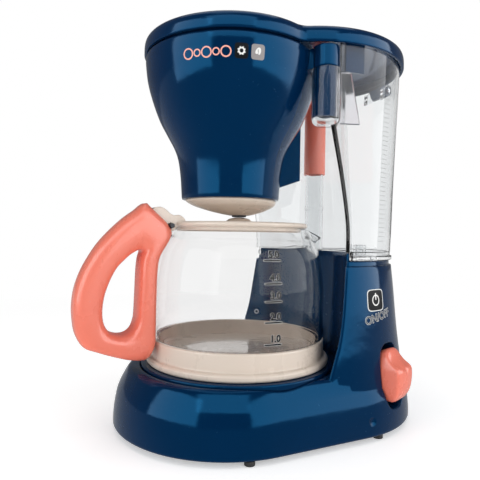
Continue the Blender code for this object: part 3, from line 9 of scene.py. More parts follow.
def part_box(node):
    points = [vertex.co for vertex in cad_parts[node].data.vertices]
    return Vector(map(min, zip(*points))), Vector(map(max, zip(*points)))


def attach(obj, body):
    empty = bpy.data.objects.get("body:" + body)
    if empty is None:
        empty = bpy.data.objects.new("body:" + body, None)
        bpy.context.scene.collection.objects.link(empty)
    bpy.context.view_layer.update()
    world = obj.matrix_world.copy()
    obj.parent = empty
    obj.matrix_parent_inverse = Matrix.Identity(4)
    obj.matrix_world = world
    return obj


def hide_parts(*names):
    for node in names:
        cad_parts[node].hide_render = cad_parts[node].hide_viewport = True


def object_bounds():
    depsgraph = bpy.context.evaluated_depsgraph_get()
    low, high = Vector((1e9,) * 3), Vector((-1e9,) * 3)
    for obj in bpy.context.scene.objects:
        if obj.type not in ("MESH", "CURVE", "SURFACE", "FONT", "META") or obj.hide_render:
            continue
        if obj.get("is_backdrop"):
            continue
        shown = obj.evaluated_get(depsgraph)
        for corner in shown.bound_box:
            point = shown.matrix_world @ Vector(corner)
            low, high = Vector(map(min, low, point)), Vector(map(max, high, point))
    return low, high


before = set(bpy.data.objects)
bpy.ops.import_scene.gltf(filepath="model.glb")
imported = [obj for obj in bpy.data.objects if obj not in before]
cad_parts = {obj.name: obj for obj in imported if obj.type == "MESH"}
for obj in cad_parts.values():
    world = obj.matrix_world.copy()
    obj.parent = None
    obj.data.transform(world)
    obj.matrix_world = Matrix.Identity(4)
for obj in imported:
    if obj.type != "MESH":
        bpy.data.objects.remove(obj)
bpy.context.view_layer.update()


# Floor and light. A white sheet runs under the toy, and two tall softboxes stand in front of it
# with a dark gap between them. The background is white to the camera and through clear plastic.
class Socket:
    """A shader output that takes part in Python sums."""

    def __init__(self, tree, out):
        self.tree = tree
        self.out = out

    def math(self, operation, *others):
        made = self.tree.nodes.new("ShaderNodeMath")
        made.operation = operation
        for plug, value in zip(made.inputs, (self, *others)):
            feed(self.tree, plug, value)
        return Socket(self.tree, made.outputs[0])

    def __add__(self, other):
        return self.math("ADD", other)

    __radd__ = __add__

    def __sub__(self, other):
        return self.math("SUBTRACT", other)

    def __rsub__(self, other):
        return self.math("MULTIPLY_ADD", -1.0, other)

    def __mul__(self, other):
        return self.math("MULTIPLY", other)

    __rmul__ = __mul__

    def __truediv__(self, other):
        return self.math("DIVIDE", other)

    def __rtruediv__(self, other):
        return self.math("POWER", -1.0) * other

    def __pow__(self, other):
        return self.math("POWER", other)

    def top(self, other):
        return self.math("MAXIMUM", other)

    def spread(self, low, high, new_low=0.0, new_high=1.0):
        """The value carried from low..high to new_low..new_high, held at both ends."""
        made = node(self.tree, "ShaderNodeMapRange", {"clamp": True}, self, low, high, new_low, new_high)
        return made["Result"]


def feed(tree, plug, value):
    if isinstance(value, Socket):
        tree.links.new(value.out, plug)
    elif value is not None:
        plug.default_value = value


def node(tree, kind, settings=None, *values, **named):
    """A node of that kind: its settings, then its inputs in order or by name. Its outputs come back by name."""
    made = tree.nodes.new(kind)
    for key, value in (settings or {}).items():
        setattr(made, key, value)
    for plug, value in zip(made.inputs, values):
        feed(tree, plug, value)
    for key, value in named.items():
        feed(tree, made.inputs[key.replace("_", " ")], value)
    return {out.name: Socket(tree, out) for out in made.outputs}


def new_material(name):
    made = bpy.data.materials.new(name)
    made.use_nodes = True
    tree = made.node_tree
    shader = tree.nodes["Principled BSDF"]
    return made, tree, shader


def noise(tree, scale, detail=3.0, stretch=(1.0, 1.0, 1.0), roughness=0.5):
    """Noise over the object, in features per metre."""
    place = node(tree, "ShaderNodeTexCoord")["Object"]
    mapped = node(tree, "ShaderNodeMapping", {"vector_type": "POINT"}, Vector=place, Scale=stretch)["Vector"]
    return node(tree, "ShaderNodeTexNoise", {}, Vector=mapped, Scale=scale, Detail=detail, Roughness=roughness)["Fac"]


def mix_colours(tree, factor, first, second):
    """A mix of two colours, each one a triple or a socket."""
    made = tree.nodes.new("ShaderNodeMix")
    made.data_type = "RGBA"
    plugs = {"Factor": made.inputs[0], "A": made.inputs[6], "B": made.inputs[7]}
    feed(tree, plugs["Factor"], factor)
    for key, value in (("A", first), ("B", second)):
        feed(tree, plugs[key], value if isinstance(value, Socket) else (*value, 1.0))
    return Socket(tree, made.outputs[2])


def bump(tree, shader, height, distance, rounding=0.0, strength=1.0):
    """Fine relief, over edges that are softened by the rounding."""
    edge = node(tree, "ShaderNodeBevel", {"samples": 6}, Radius=rounding)["Normal"] if rounding else None
    made = node(tree, "ShaderNodeBump", {}, Strength=strength, Distance=distance, Height=height, Normal=edge)
    feed(tree, shader.inputs["Normal"], made["Normal"])


paper, tree, shader = new_material("floor_paper")
fibres = noise(tree, 900.0, 4.0)
feed(tree, shader.inputs["Base Color"], mix_colours(tree, fibres, (0.9, 0.905, 0.91), (0.94, 0.94, 0.94)))
shader.inputs["Roughness"].default_value = 0.7
bump(tree, shader, fibres, 0.00002)
shader.inputs["Emission Color"].default_value = (1.0, 1.0, 1.0, 1.0)
shader.inputs["Emission Strength"].default_value = 0.41
place = node(tree, "ShaderNodeTexCoord")["Object"]
away = node(tree, "ShaderNodeVectorMath", {"operation": "LENGTH"}, place)["Value"]
glow = node(tree, "ShaderNodeEmission", {}, Strength=1.0)["Emission"]
sheet = Socket(tree, shader.outputs["BSDF"])
swept = node(tree, "ShaderNodeMixShader", {}, away.spread(0.22, 0.6), sheet, glow)["Shader"]
dim = node(tree, "ShaderNodeEmission", {}, Strength=0.42)["Emission"]
rays = node(tree, "ShaderNodeLightPath")
mirrored = rays["Is Glossy Ray"] * (1.0 - rays["Is Transmission Ray"])
floor_look = node(tree, "ShaderNodeMixShader", {}, mirrored, swept, dim)["Shader"]
feed(tree, tree.nodes["Material Output"].inputs["Surface"], floor_look)

data = bmesh.new()
bmesh.ops.create_grid(data, x_segments=1, y_segments=1, size=30.0)
mesh = bpy.data.meshes.new("floor")
data.to_mesh(mesh)
data.free()
mesh.materials.append(paper)
floor = bpy.data.objects.new("floor", mesh)
bpy.context.collection.objects.link(floor)
floor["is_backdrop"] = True

WHITE_LEVEL = 1.0
GLOSS_LEVEL = 0.18
FILL_LEVEL = 0.42
world = bpy.data.worlds.new("studio")
bpy.context.scene.world = world
world.use_nodes = True
tree = world.node_tree
rays = node(tree, "ShaderNodeLightPath")
seen = rays["Is Camera Ray"].top(rays["Is Transmission Ray"])
level = seen * (WHITE_LEVEL - FILL_LEVEL) + rays["Is Glossy Ray"] * (GLOSS_LEVEL - FILL_LEVEL) * (1.0 - seen) + FILL_LEVEL
feed(tree, tree.nodes["Background"].inputs["Strength"], level)
tree.nodes["Background"].inputs["Color"].default_value = (1.0, 1.0, 1.0, 1.0)


def softbox(name, place, aim, width, height, radiance, lights=True, shines=True):
    """A soft lamp of that radiance, which lights the surfaces, shows in their gloss, or both."""
    lamp = bpy.data.lights.new(name, "AREA")
    lamp.shape = "RECTANGLE"
    lamp.size = width
    lamp.size_y = height
    lamp.energy = radiance * math.pi * width * height
    made = bpy.data.objects.new(name, lamp)
    made.location = place
    made.rotation_euler = (Vector(aim) - Vector(place)).to_track_quat("-Z", "Y").to_euler()
    made.visible_camera = False
    made.visible_transmission = False
    made.visible_diffuse = lights
    made.visible_glossy = shines
    bpy.context.collection.objects.link(made)
    return made


PANEL_HEIGHT, PANEL_AWAY, PANEL_GAP = 0.39, 0.85, 0.02
aim = Vector((0.0, 0.0, PANEL_HEIGHT))
for side, toward, width in (("left", (-0.97, -0.242, 0.0), 0.83), ("right", (0.602, -0.797, 0.0), 1.26)):
    face = aim + Vector(toward) * PANEL_AWAY
    softbox(f"softbox_{side}", face + Vector(toward) * PANEL_GAP, aim, width, 0.7, 1.32, shines=False)
    softbox(f"softbox_{side}_face", face, aim, width, 0.7, 3.2, lights=False)
softbox("softbox_top", (0.0, 0.0, 0.95), (0.0, 0.0, 0.1), 0.8, 0.8, 1.1)
softbox("softbox_high_face", (-0.3, -0.59, 0.58), (0.0, 0.0, 0.15), 0.75, 0.4, 2.6, lights=False)

# The camera stands at the photographer's place, level with the carafe's rim and a little rolled.
CAMERA_PLACE = (-0.1242, -0.2433, 0.1005)
CAMERA_TURN = math.radians(25.5)
CAMERA_YAW, CAMERA_PITCH, CAMERA_ROLL = 0.003, -0.0077, 0.0151
forward = Vector((math.sin(CAMERA_YAW) * math.cos(CAMERA_PITCH), math.cos(CAMERA_YAW) * math.cos(CAMERA_PITCH), math.sin(CAMERA_PITCH)))
across = Vector((math.cos(CAMERA_YAW), -math.sin(CAMERA_YAW), 0.0))
upward = across.cross(forward)
right = across * math.cos(CAMERA_ROLL) + upward * math.sin(CAMERA_ROLL)
upward = upward * math.cos(CAMERA_ROLL) - across * math.sin(CAMERA_ROLL)
turn = Matrix.Rotation(-CAMERA_TURN, 3, "Z")
basis = Matrix((turn @ right, turn @ upward, turn @ -forward)).transposed()
lens = bpy.data.cameras.new("camera")
lens.sensor_width = 36.0
lens.lens = 36.13
lens.clip_start = 0.01
lens.clip_end = 100.0
camera = bpy.data.objects.new("camera", lens)
camera.matrix_world = Matrix.Translation(CAMERA_PLACE) @ basis.to_4x4()
bpy.context.collection.objects.link(camera)
bpy.context.scene.camera = camera
bpy.context.scene.view_settings.view_transform = "Standard"


# Base and column. One glossy navy moulding: a low oval tub with rounded shoulders, and behind the
# carafe a crescent column that carries the tank. The bay, the plate's seat and the switch's slot are cut in.
MM = 0.001
NEAR_X, TANK_X, CARAFE_X, HEAD_X = -15.1, 35.9, -8.1, -13.6
ROUND = 176


def smooth_line(points, steps=5):
    """A curve through the points, with steps between each pair, by Catmull-Rom."""
    points = np.array(points, float)
    padded = np.vstack([2 * points[0] - points[1], points, 2 * points[-1] - points[-2]])
    line = []
    for i in range(1, len(padded) - 2):
        a, b, c, d = padded[i - 1 : i + 3]
        for j in range(steps):
            t = j / steps
            line.append(0.5 * (2 * b + (c - a) * t + (2 * a - 5 * b + 4 * c - d) * t * t + (3 * b - a - 3 * c + d) * t ** 3))
    line.append(padded[-2])
    return [tuple(p) for p in line]


def circle(x, y, radius, z, count=ROUND):
    turns = [2 * math.pi * i / count for i in range(count)]
    return [(x + radius * math.cos(a), y + radius * math.sin(a), z) for a in turns]


def arc(x, y, radius, start, end, z, count):
    turns = [start + (end - start) * i / (count - 1) for i in range(count)]
    return [(x + radius * math.cos(a), y + radius * math.sin(a), z) for a in turns]


def oval(radius, z):
    half = ROUND // 2
    far = arc(TANK_X, 0.0, radius, -math.pi / 2, math.pi / 2, z, half)
    near = arc(NEAR_X, 0.0, radius, math.pi / 2, 3 * math.pi / 2, z, half)
    return far + near


def bend(start, tip, end, count=9):
    start, tip, end = np.array(start), np.array(tip), np.array(end)
    shares = [(i + 1) / (count + 1) for i in range(count)]
    return [tuple(start * (1 - t) ** 2 + tip * 2 * t * (1 - t) + end * t ** 2) for t in shares]


def crescent(outer_radius, bay_x, bay_radius, z, rounding=3.2):
    apart = TANK_X - bay_x
    along = (apart ** 2 + bay_radius ** 2 - outer_radius ** 2) / (2 * apart)
    over = math.sqrt(bay_radius ** 2 - along ** 2)
    outer_turn = math.atan2(over, along - apart) - rounding / outer_radius
    bay_turn = math.atan2(over, along) - rounding / bay_radius
    outer = arc(TANK_X, 0.0, outer_radius, -outer_turn, outer_turn, z, 110)
    inner = arc(bay_x, 0.0, bay_radius, bay_turn, -bay_turn, z, 70)
    rear = bend(outer[-1], (bay_x + along, over, z), inner[0])
    front = bend(inner[-1], (bay_x + along, -over, z), outer[0])
    return outer + rear + inner + front


def loft(name, rings, material=None, loop=False, shade=True):
    """A closed mesh through rings of equal count, given in millimetres."""
    data = bmesh.new()
    rows = [[data.verts.new(Vector(point) * MM) for point in ring] for ring in rings]
    pairs = list(zip(rows, rows[1:])) + ([(rows[-1], rows[0])] if loop else [])
    for low, high in pairs:
        for i in range(len(low)):
            j = (i + 1) % len(low)
            data.faces.new((low[i], low[j], high[j], high[i]))
    if not loop:
        data.faces.new(reversed(rows[0]))
        data.faces.new(rows[-1])
    bmesh.ops.recalc_face_normals(data, faces=data.faces)
    return link_mesh(name, data, material, shade)


def link_mesh(name, data, material=None, shade=True):
    mesh = bpy.data.meshes.new(name)
    data.to_mesh(mesh)
    data.free()
    if material:
        mesh.materials.append(material)
    if shade:
        mesh.polygons.foreach_set("use_smooth", [True] * len(mesh.polygons))
        mesh.set_sharp_from_angle(angle=math.radians(34.0))
    made = bpy.data.objects.new(name, mesh)
    bpy.context.collection.objects.link(made)
    return made


def lathe(name, x, y, profile, material=None, loop=False, count=ROUND):
    return loft(name, [circle(x, y, r, z, count) for r, z in profile], material, loop)


def rounded(profile, radius=0.5, steps=3):
    """The profile with each corner replaced by a small curve."""
    points = [np.array(p, float) for p in profile]
    line = [tuple(points[0])]
    for before, here, after in zip(points, points[1:], points[2:]):
        back = min(radius, np.linalg.norm(before - here) * 0.45)
        on = min(radius, np.linalg.norm(after - here) * 0.45)
        start = here + (before - here) / np.linalg.norm(before - here) * back
        end = here + (after - here) / np.linalg.norm(after - here) * on
        for i in range(steps + 1):
            t = i / steps
            line.append(tuple(start * (1 - t) ** 2 + here * 2 * t * (1 - t) + end * t ** 2))
    return line + [tuple(points[-1])]


def rod(name, start, end, radius, material=None, count=64):
    """A cylinder between two points, in millimetres, with eased ends."""
    start, end = Vector(start), Vector(end)
    length = (end - start).length
    ease = min(0.3, radius * 0.25)
    levels = [(radius - ease, 0.0), (radius, ease), (radius, length - ease), (radius - ease, length)]
    made = loft(name, [circle(0.0, 0.0, r, z, count) for r, z in levels], material)
    turned = (end - start).to_track_quat("Z", "Y").to_matrix().to_4x4()
    made.data.transform(Matrix.Translation(start * MM) @ turned)
    return made


def box(name, low, high, material=None):
    data = bmesh.new()
    bmesh.ops.create_cube(data, size=1.0)
    size = [(b - a) * MM for a, b in zip(low, high)]
    middle = [(a + b) / 2 * MM for a, b in zip(low, high)]
    bmesh.ops.transform(data, matrix=Matrix.Translation(middle) @ Matrix.Diagonal((*size, 1.0)), verts=data.verts)
    return link_mesh(name, data, material, shade=False)


def prism(name, outline, low_y, high_y, material=None):
    rings = [[(x, y, z) for x, z in outline] for y in (low_y, high_y)]
    return loft(name, rings, material)


def shape(target, joined=(), cutters=()):
    """The target with some solids joined and others cut away, as one plain mesh."""
    for others, operation in ((joined, "UNION"), (cutters, "DIFFERENCE")):
        for other in others:
            step = target.modifiers.new(other.name, "BOOLEAN")
            step.operation = operation
            step.solver = "EXACT"
            step.object = other
    return bake(target, (*joined, *cutters))


def bake(target, helpers=()):
    """Puts the target's modifiers into its mesh and removes the helpers."""
    bpy.context.view_layer.update()
    graph = bpy.context.evaluated_depsgraph_get()
    done = bpy.data.meshes.new_from_object(target.evaluated_get(graph))
    target.modifiers.clear()
    old = target.data
    material = old.materials[0] if old.materials else None
    target.data = done
    bpy.data.meshes.remove(old)
    done.materials.clear()
    if material:
        done.materials.append(material)
    done.polygons.foreach_set("use_smooth", [True] * len(done.polygons))
    done.set_sharp_from_angle(angle=math.radians(34.0))
    for helper in helpers:
        bpy.data.objects.remove(helper, do_unlink=True)
    return target


def dress(made, body, slot, *nodes):
    """The piece rides on that body and stands for those CAD nodes. The slot is not used."""
    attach(made, body)
    if nodes:
        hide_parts(*nodes)
    return made


def plastic(
    name, colour, depth=0.06, gloss=(0.1, 0.2), coat=0.4, rounding=0.0006, waves=0.00005, scatter=0.0, sheen=None, wear=0.3, shine=0.5,
):
    """Moulded plastic: faint mottle and specks in the colour, worn edges, smudged gloss, a trace of orange peel."""
    made, tree, shader = new_material(name)
    mottle = noise(tree, 28.0, 3.0)
    pigment = noise(tree, 420.0, 2.0)
    smudge = noise(tree, 45.0, 5.0, (1.0, 1.0, 0.6), 0.62)
    darker = tuple(c * (1.0 - depth) for c in colour)
    lighter = tuple(min(1.0, c * (1.0 + depth)) for c in colour)
    body = mix_colours(tree, mottle * 0.8 + pigment * 0.2, darker, lighter)
    worn = tuple(0.75 * c + 0.25 * (sum(colour) / 3 + 0.04) for c in colour)
    edge = node(tree, "ShaderNodeNewGeometry")["Pointiness"].spread(0.53, 0.62)
    specks = noise(tree, 700.0, 2.0).spread(0.7, 0.74)
    feed(tree, shader.inputs["Base Color"], mix_colours(tree, (edge * mottle).top(specks) * wear, body, worn))
    feed(tree, shader.inputs["Roughness"], smudge.spread(0.35, 0.7, *gloss) + specks * 0.2)
    shader.inputs["Coat Weight"].default_value = coat
    shader.inputs["Coat Roughness"].default_value = 0.04
    if sheen:
        shader.inputs["Specular Tint"].default_value = (*sheen, 1.0)
    shader.inputs["IOR"].default_value = 1.5
    shader.inputs["Specular IOR Level"].default_value = shine
    if scatter:
        shader.inputs["Subsurface Weight"].default_value = scatter
        shader.inputs["Subsurface Radius"].default_value = (0.7, 0.55, 0.5)
        shader.inputs["Subsurface Scale"].default_value = 0.002
    ripple = noise(tree, 160.0, 1.0) * 0.85 + noise(tree, 2600.0, 1.0) * 0.15
    bump(tree, shader, ripple, waves, rounding)
    return made


navy = plastic("navy_plastic", (0.0004, 0.0155, 0.056), 0.14, (0.07, 0.15), 0.0, 0.0009, 0.00006, sheen=(0.05, 0.43, 0.92))

BASE_LOW, BASE_HIGH, BASE_R = 2.5, 31.4, 60.0
base_profile = smooth_line([
    (60.0, 2.5), (59.9, 7.0), (59.4, 12.3), (58.3, 18.4), (57.0, 22.2), (55.5, 25.3), (53.9, 28.2), (52.4, 30.4), (51.0, 31.4),
])
base_profile = [(59.2, 2.5), (59.75, 2.9)] + base_profile[1:]
base_body = loft("base_body", [oval(r, z) for r, z in base_profile], navy)
column_levels = smooth_line([
    (59.0, 4.6, 5.7), (56.4, 22.0, 4.6), (54.6, 38.0, 2.4), (53.3, 48.0, 1.0), (52.2, 58.0, 0.3), (50.9, 72.0, 0.0), (49.4, 85.6, 0.0),
])
column_rings = [crescent(r, CARAFE_X, 60.3 - flare, z) for r, z, flare in column_levels]
column_rings += [crescent(r, CARAFE_X, 60.3, z) for r, z in ((49.2, 85.9), (48.2, 86.0), (48.1, 88.1), (47.8, 88.5))]
column = loft("column", column_rings)
lip = [
    arc(CARAFE_X, 0.0, 61.5 - ease, -0.865, 0.865, z, 90) + arc(CARAFE_X, 0.0, 60.3 + ease, 0.865, -0.865, z, 90)
    for z, ease in ((86.0, 0.0), (92.1, 0.0), (92.4, 0.15), (92.5, 0.4))
]
column_lip = loft("column_lip", lip)
seat = lathe("plate_seat", CARAFE_X, 0.0, [(53.0, 28.8), (53.0, 30.6), (53.9, 31.9), (54.5, 40.0)])

WALL_TURN, WALL_LEAN, WALL_Z, WALL_R = math.radians(-68.0), math.radians(8.0), 29.6, 56.1
wall_frame = (
    Matrix.Translation((
        (TANK_X + WALL_R * math.cos(WALL_TURN)) * MM, WALL_R * math.sin(WALL_TURN) * MM, WALL_Z * MM,
    ))
    @ Matrix.Rotation(WALL_TURN, 4, "Z")
    @ Matrix.Rotation(-WALL_LEAN, 4, "Y")
)


def wall_oval(width, height, out, count=96, power=0.62):
    """An upright oval on the switch's wall, at a distance out from it."""
    ring = []
    for i in range(count):
        a = 2 * math.pi * i / count
        c, s = math.cos(a), math.sin(a)
        y = math.copysign(abs(c) ** power, c) * width / 2
        z = math.copysign(abs(s) ** power, s) * height / 2
        ring.append((out, y, z))
    return ring


slot_cut = loft("slot_cut", [wall_oval(18.8, 32.6, x) for x in (-10.5, -1.0)] + [wall_oval(19.6, 33.4, 0.1), wall_oval(24.0, 38.0, 4.0)])
slot_cut.data.transform(wall_frame)
data = bmesh.new()
bmesh.ops.create_uvsphere(data, u_segments=48, v_segments=30, radius=3.4 * MM)
bmesh.ops.translate(data, verts=data.verts, vec=Vector((38.2, -62.2, 10.6)) * MM)
dimple = link_mesh("dimple", data)
shape(base_body, (column, column_lip), (seat, slot_cut, dimple))
dress(base_body, "machine", "navy_gloss", "base_shell")

# Switch label. A plain ring-and-bar sign on a dark tile, and the words ON/OFF, printed on the column over the switch.
def outline_curve(name, source, swell=0.0, height=4.0):
    """A flat curve in millimetres: a word, or a list of closed outlines, of which the inner ones are holes."""
    if isinstance(source, str):
        curve = bpy.data.curves.new(name, "FONT")
        curve.body = source
        curve.size = height / 0.7
        curve.align_x = "CENTER"
        curve.align_y = "CENTER"
        curve.offset = swell
        curve.resolution_u = 3
        return curve
    curve = bpy.data.curves.new(name, "CURVE")
    curve.dimensions = "2D"
    curve.fill_mode = "BOTH"
    for outline in source:
        spline = curve.splines.new("POLY")
        spline.points.add(len(outline) - 1)
        spline.points.foreach_set("co", [c for x, y in outline for c in (x, y, 0.0, 1.0)])
        spline.use_cyclic_u = True
    return curve


PRINT_BODY, PRINT_STEP = 0.12, 1.5


def wrap(made, centre_x, radius_at, turn, height, tilt=0.0, lift=0.04, shift=(0.0, 0.0)):
    """Lays a flat mesh in millimetres on an upright wall: x goes round the axis, y goes up, z stands off the wall."""
    data = bmesh.new()
    data.from_mesh(made.data)
    lean = Matrix.Rotation(tilt, 4, "Z") @ Matrix.Translation((*shift, 0.0))
    bmesh.ops.transform(data, matrix=lean, verts=data.verts)
    for axis in (0, 1):
        low, high = (pick(v.co[axis] for v in data.verts) for pick in (min, max))
        normal = [float(axis == 0), float(axis == 1), 0.0]
        for i in range(1, int((high - low) / PRINT_STEP) + 1):
            at = [c * (low + i * PRINT_STEP) for c in normal]
            parts = data.verts[:] + data.edges[:] + data.faces[:]
            bmesh.ops.bisect_plane(data, geom=parts, dist=0.0001, plane_co=at, plane_no=normal)
    for vert in data.verts:
        x, y, z = vert.co
        radius = radius_at(height + y)
        a = turn + x / radius_at(height)
        out = radius + z + lift
        vert.co = Vector((centre_x + out * math.cos(a), out * math.sin(a), height + y)) * MM
    bmesh.ops.remove_doubles(data, verts=data.verts, dist=0.000001)
    bmesh.ops.recalc_face_normals(data, faces=data.faces)
    data.to_mesh(made.data)
    data.free()
    return made


def stamp(name, source, material, place, swell=0.0, height=4.0, **wrapping):
    """A printed shape as a thin solid, half sunk in the wall that it lies on."""
    curve = outline_curve(name, source, swell, height)
    curve.extrude = PRINT_BODY / 2
    pattern = bpy.data.objects.new(name, curve)
    bpy.context.collection.objects.link(pattern)
    bpy.context.view_layer.update()
    mesh = bpy.data.meshes.new_from_object(pattern.evaluated_get(bpy.context.evaluated_depsgraph_get()))
    bpy.data.objects.remove(pattern, do_unlink=True)
    bpy.data.curves.remove(curve)
    mesh.materials.clear()
    mesh.materials.append(material)
    mesh.name = name
    made = bpy.data.objects.new(name, mesh)
    bpy.context.collection.objects.link(made)
    wrapping["lift"] = wrapping.get("lift", 0.04) - PRINT_BODY / 2
    return wrap(made, *place, **wrapping)


def ring_line(radius, x=0.0, y=0.0, count=40, power=1.0, tall=1.0):
    """A circle, or with a power under 1 a square with rounded corners."""
    line = []
    for i in range(count):
        a = 2 * math.pi * i / count
        c, s_ = math.cos(a), math.sin(a)
        line.append((x + radius * math.copysign(abs(c) ** power, c), y + radius * tall * math.copysign(abs(s_) ** power, s_)))
    return line


def bar_line(width, height, x=0.0, y=0.0):
    return ring_line(width / 2, x, y, 24, 0.3, height / width)


def radius_from(rows):
    """The radius at a height, from rows of height and radius."""
    heights, radii = zip(*sorted(rows))
    return lambda z: float(np.interp(z, heights, radii))


white_print = plastic("print_white", (0.82, 0.82, 0.8), 0.05, (0.3, 0.45), 0.0, 0.0, 0.00001, shine=0.1)
# Black print for tiles, words and scale lines; the same material also serves as painted shade in the screw's recess.
black_print_and_shade = plastic("print_black_and_shade", (0.006, 0.007, 0.009), 0.3, (0.25, 0.4), 0.0, 0.0, 0.00001, shine=0.1)
column_wall = TANK_X, radius_from([(z, r) for r, z, _ in column_levels])
tile_place = *column_wall, math.radians(-77.5), 68.6
word_place = *column_wall, math.radians(-75.5), 59.8
tile = stamp("switch_tile", [ring_line(6.1, power=0.35, tall=0.86)], black_print_and_shade, tile_place, lift=0.04)
tile_edge = stamp(
    "switch_tile_edge", [ring_line(6.5, power=0.35, tall=0.86), ring_line(6.0, power=0.35, tall=0.86)], white_print, tile_place, lift=0.06,
)
sign = stamp("switch_sign", [ring_line(2.9), ring_line(2.2)], white_print, tile_place, lift=0.07)
sign_bar = stamp("switch_sign_bar", [bar_line(0.8, 3.6, y=1.9)], white_print, tile_place, lift=0.08)
word_rim = stamp("switch_word_rim", "ON/OFF", white_print, word_place, 0.16, 4.1, tilt=math.radians(9.0), lift=0.03)
word = stamp("switch_word", "ON/OFF", black_print_and_shade, word_place, -0.02, 4.1, tilt=math.radians(9.0), lift=0.06)
for made in (tile, tile_edge, sign, sign_bar, word_rim, word):
    dress(made, "machine", None)

# Column screw. A small pan-head screw in the bay wall; a black disc inside its recess is painted shade.
zinc = plastic("zinc_screw", (0.78, 0.78, 0.79), 0.08, (0.25, 0.35), 0.0, 0.0002, 0.00001)
SCREW_TURN, SCREW_Z, BAY_R = math.radians(51.75), 49.7, 59.45
screw_start = Vector((CARAFE_X + (BAY_R + 4.0) * math.cos(SCREW_TURN), (BAY_R + 4.0) * math.sin(SCREW_TURN), SCREW_Z))
inward = Vector((-math.cos(SCREW_TURN), -math.sin(SCREW_TURN), 0.0))
screw_line = [(1.2, 0.0), (1.2, 3.6), (1.6, 3.7), (1.6, 4.2), (1.35, 4.42), (1.05, 4.4), (0.9, 4.1), (0.85, 3.6)]
screw = lathe("bay_screw", 0.0, 0.0, rounded(screw_line, 0.1), zinc, count=48)
screw.data.transform(Matrix.Translation(screw_start * MM) @ inward.to_track_quat("Z", "Y").to_matrix().to_4x4())
dress(screw, "machine", "steel", "column_screw")
# A black disc at the bottom of the screw's recess: painted shade.
screw_recess_shade = rod("bay_screw_recess_shade", screw_start + inward * 3.5, screw_start + inward * 4.0, 0.84, black_print_and_shade, 32)
dress(screw_recess_shade, "machine", None)

# Warming plate. A navy disc let into the base's top with a thin groove round it, on which the carafe stands.
plate_profile = rounded([(52.6, 29.1), (52.6, 32.7), (38.0, 32.7), (1.0, 32.7)], 0.9, 5)
plate = lathe("plate", CARAFE_X, 0.0, plate_profile, navy)
dress(plate, "machine", "navy_gloss", "warming_plate")

# Feet, bottom plate and battery door. Dark plastic and rubber under the base.
dark = plastic("dark_plastic", (0.02, 0.026, 0.036), 0.2, (0.4, 0.6), 0.0, 0.0003, 0.00008)
rubber = plastic("foot_rubber", (0.018, 0.018, 0.02), 0.3, (0.6, 0.8), 0.0, 0.0003, 0.0001)


def repaint(material, *names):
    """Gives CAD nodes a finished material."""
    for name in names:
        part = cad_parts[name]
        part.data.materials.clear()
        part.data.materials.append(material)


for foot in ("foot_front_near", "foot_front_far", "foot_rear_near", "foot_rear_far"):
    low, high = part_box(foot)
    x, y = (low[0] + high[0]) / 2 / MM, (low[1] + high[1]) / 2 / MM
    pad = lathe(foot + "_pad", x, y, rounded([(1.0, 0.0), (2.5, 0.0), (2.5, 2.2), (1.0, 2.2)], 0.4), rubber, count=48)
    dress(pad, "machine", "black_rubber", foot)
repaint(dark, "bottom_plate", "battery_door", "battery_box", "switch_frame", "pump_housing")

# Rocker switch. A coral rocker in an oval slot: its upper half is pressed in and scooped, its lower half bulges.
coral = plastic("coral_plastic", (0.9, 0.215, 0.142), 0.05, (0.2, 0.34), 0.25, 0.0007, 0.00005, 0.12)
ROCKER_W, ROCKER_H = 17.2, 27.4
rocker_side = smooth_line([
    (0.6, -13.7), (2.2, -12.8), (4.4, -11.0), (6.6, -7.2), (8.0, -2.0), (8.45, 1.6), (8.2, 3.4), (7.0, 4.8), (5.0, 6.6), (3.2, 9.4),
    (2.2, 12.4), (1.6, 13.7),
], 6)


def rocker_height(v):
    for (n0, v0), (n1, v1) in zip(rocker_side, rocker_side[1:]):
        if v0 <= v <= v1:
            return n0 + (n1 - n0) * (v - v0) / max(v1 - v0, 1e-6)
    return rocker_side[-1][0]


rings = []
for back, narrow in ((-8.3, 0.4), (-3.0, 0.94)):
    rings.append([(back, y, z * narrow) for _, y, z in wall_oval(ROCKER_W, ROCKER_H, 0.0, 96)])
for share, drop in ((1.0, 1.1), (0.99, 0.7), (0.965, 0.32), (0.93, 0.1), (0.88, 0.0), (0.75, 0.0), (0.55, 0.0), (0.3, 0.0), (0.02, 0.0)):
    ring = []
    for _, y, z in wall_oval(ROCKER_W, ROCKER_H, 0.0, 96):
        across_share = abs(y * share) / (ROCKER_W / 2)
        crown = 0.9 * across_share ** 2.2
        ring.append((rocker_height(z * share) - drop - crown, y * share, z * share))
    rings.append(ring)
rocker = loft("rocker", rings, coral)
rocker.data.transform(wall_frame)
dress(rocker, "rocker", "coral_gloss", "rocker_button")

# Tank. Clear crescent-shaped shell on the column, with two sockets for the head's pegs, panes beside them,
# a moulded seam and hinge ears.
def clear_plastic(name, colour=(0.88, 0.89, 0.895), rough=(0.015, 0.05), bending=1.33):
    made, tree, shader = new_material(name)
    cloud = noise(tree, 35.0, 3.0)
    feed(tree, shader.inputs["Base Color"], mix_colours(tree, cloud, colour, tuple(min(1.0, c * 1.03) for c in colour)))
    feed(tree, shader.inputs["Roughness"], noise(tree, 60.0, 5.0).spread(0.4, 0.75, *rough))
    shader.inputs["Transmission Weight"].default_value = 1.0
    shader.inputs["IOR"].default_value = bending
    flow = noise(tree, 22.0, 2.0, (1.0, 1.0, 0.25))
    bump(tree, shader, flow, 0.0006, 0.0004, 0.5)
    rays = node(tree, "ShaderNodeLightPath")
    passing = rays["Is Shadow Ray"].top(rays["Is Diffuse Ray"])
    through = node(tree, "ShaderNodeBsdfTransparent", {}, Color=(0.985, 0.985, 0.985, 1.0))["BSDF"]
    solid = Socket(tree, shader.outputs["BSDF"])
    both = node(tree, "ShaderNodeMixShader", {}, passing, solid, through)["Shader"]
    feed(tree, tree.nodes["Material Output"].inputs["Surface"], both)
    return made


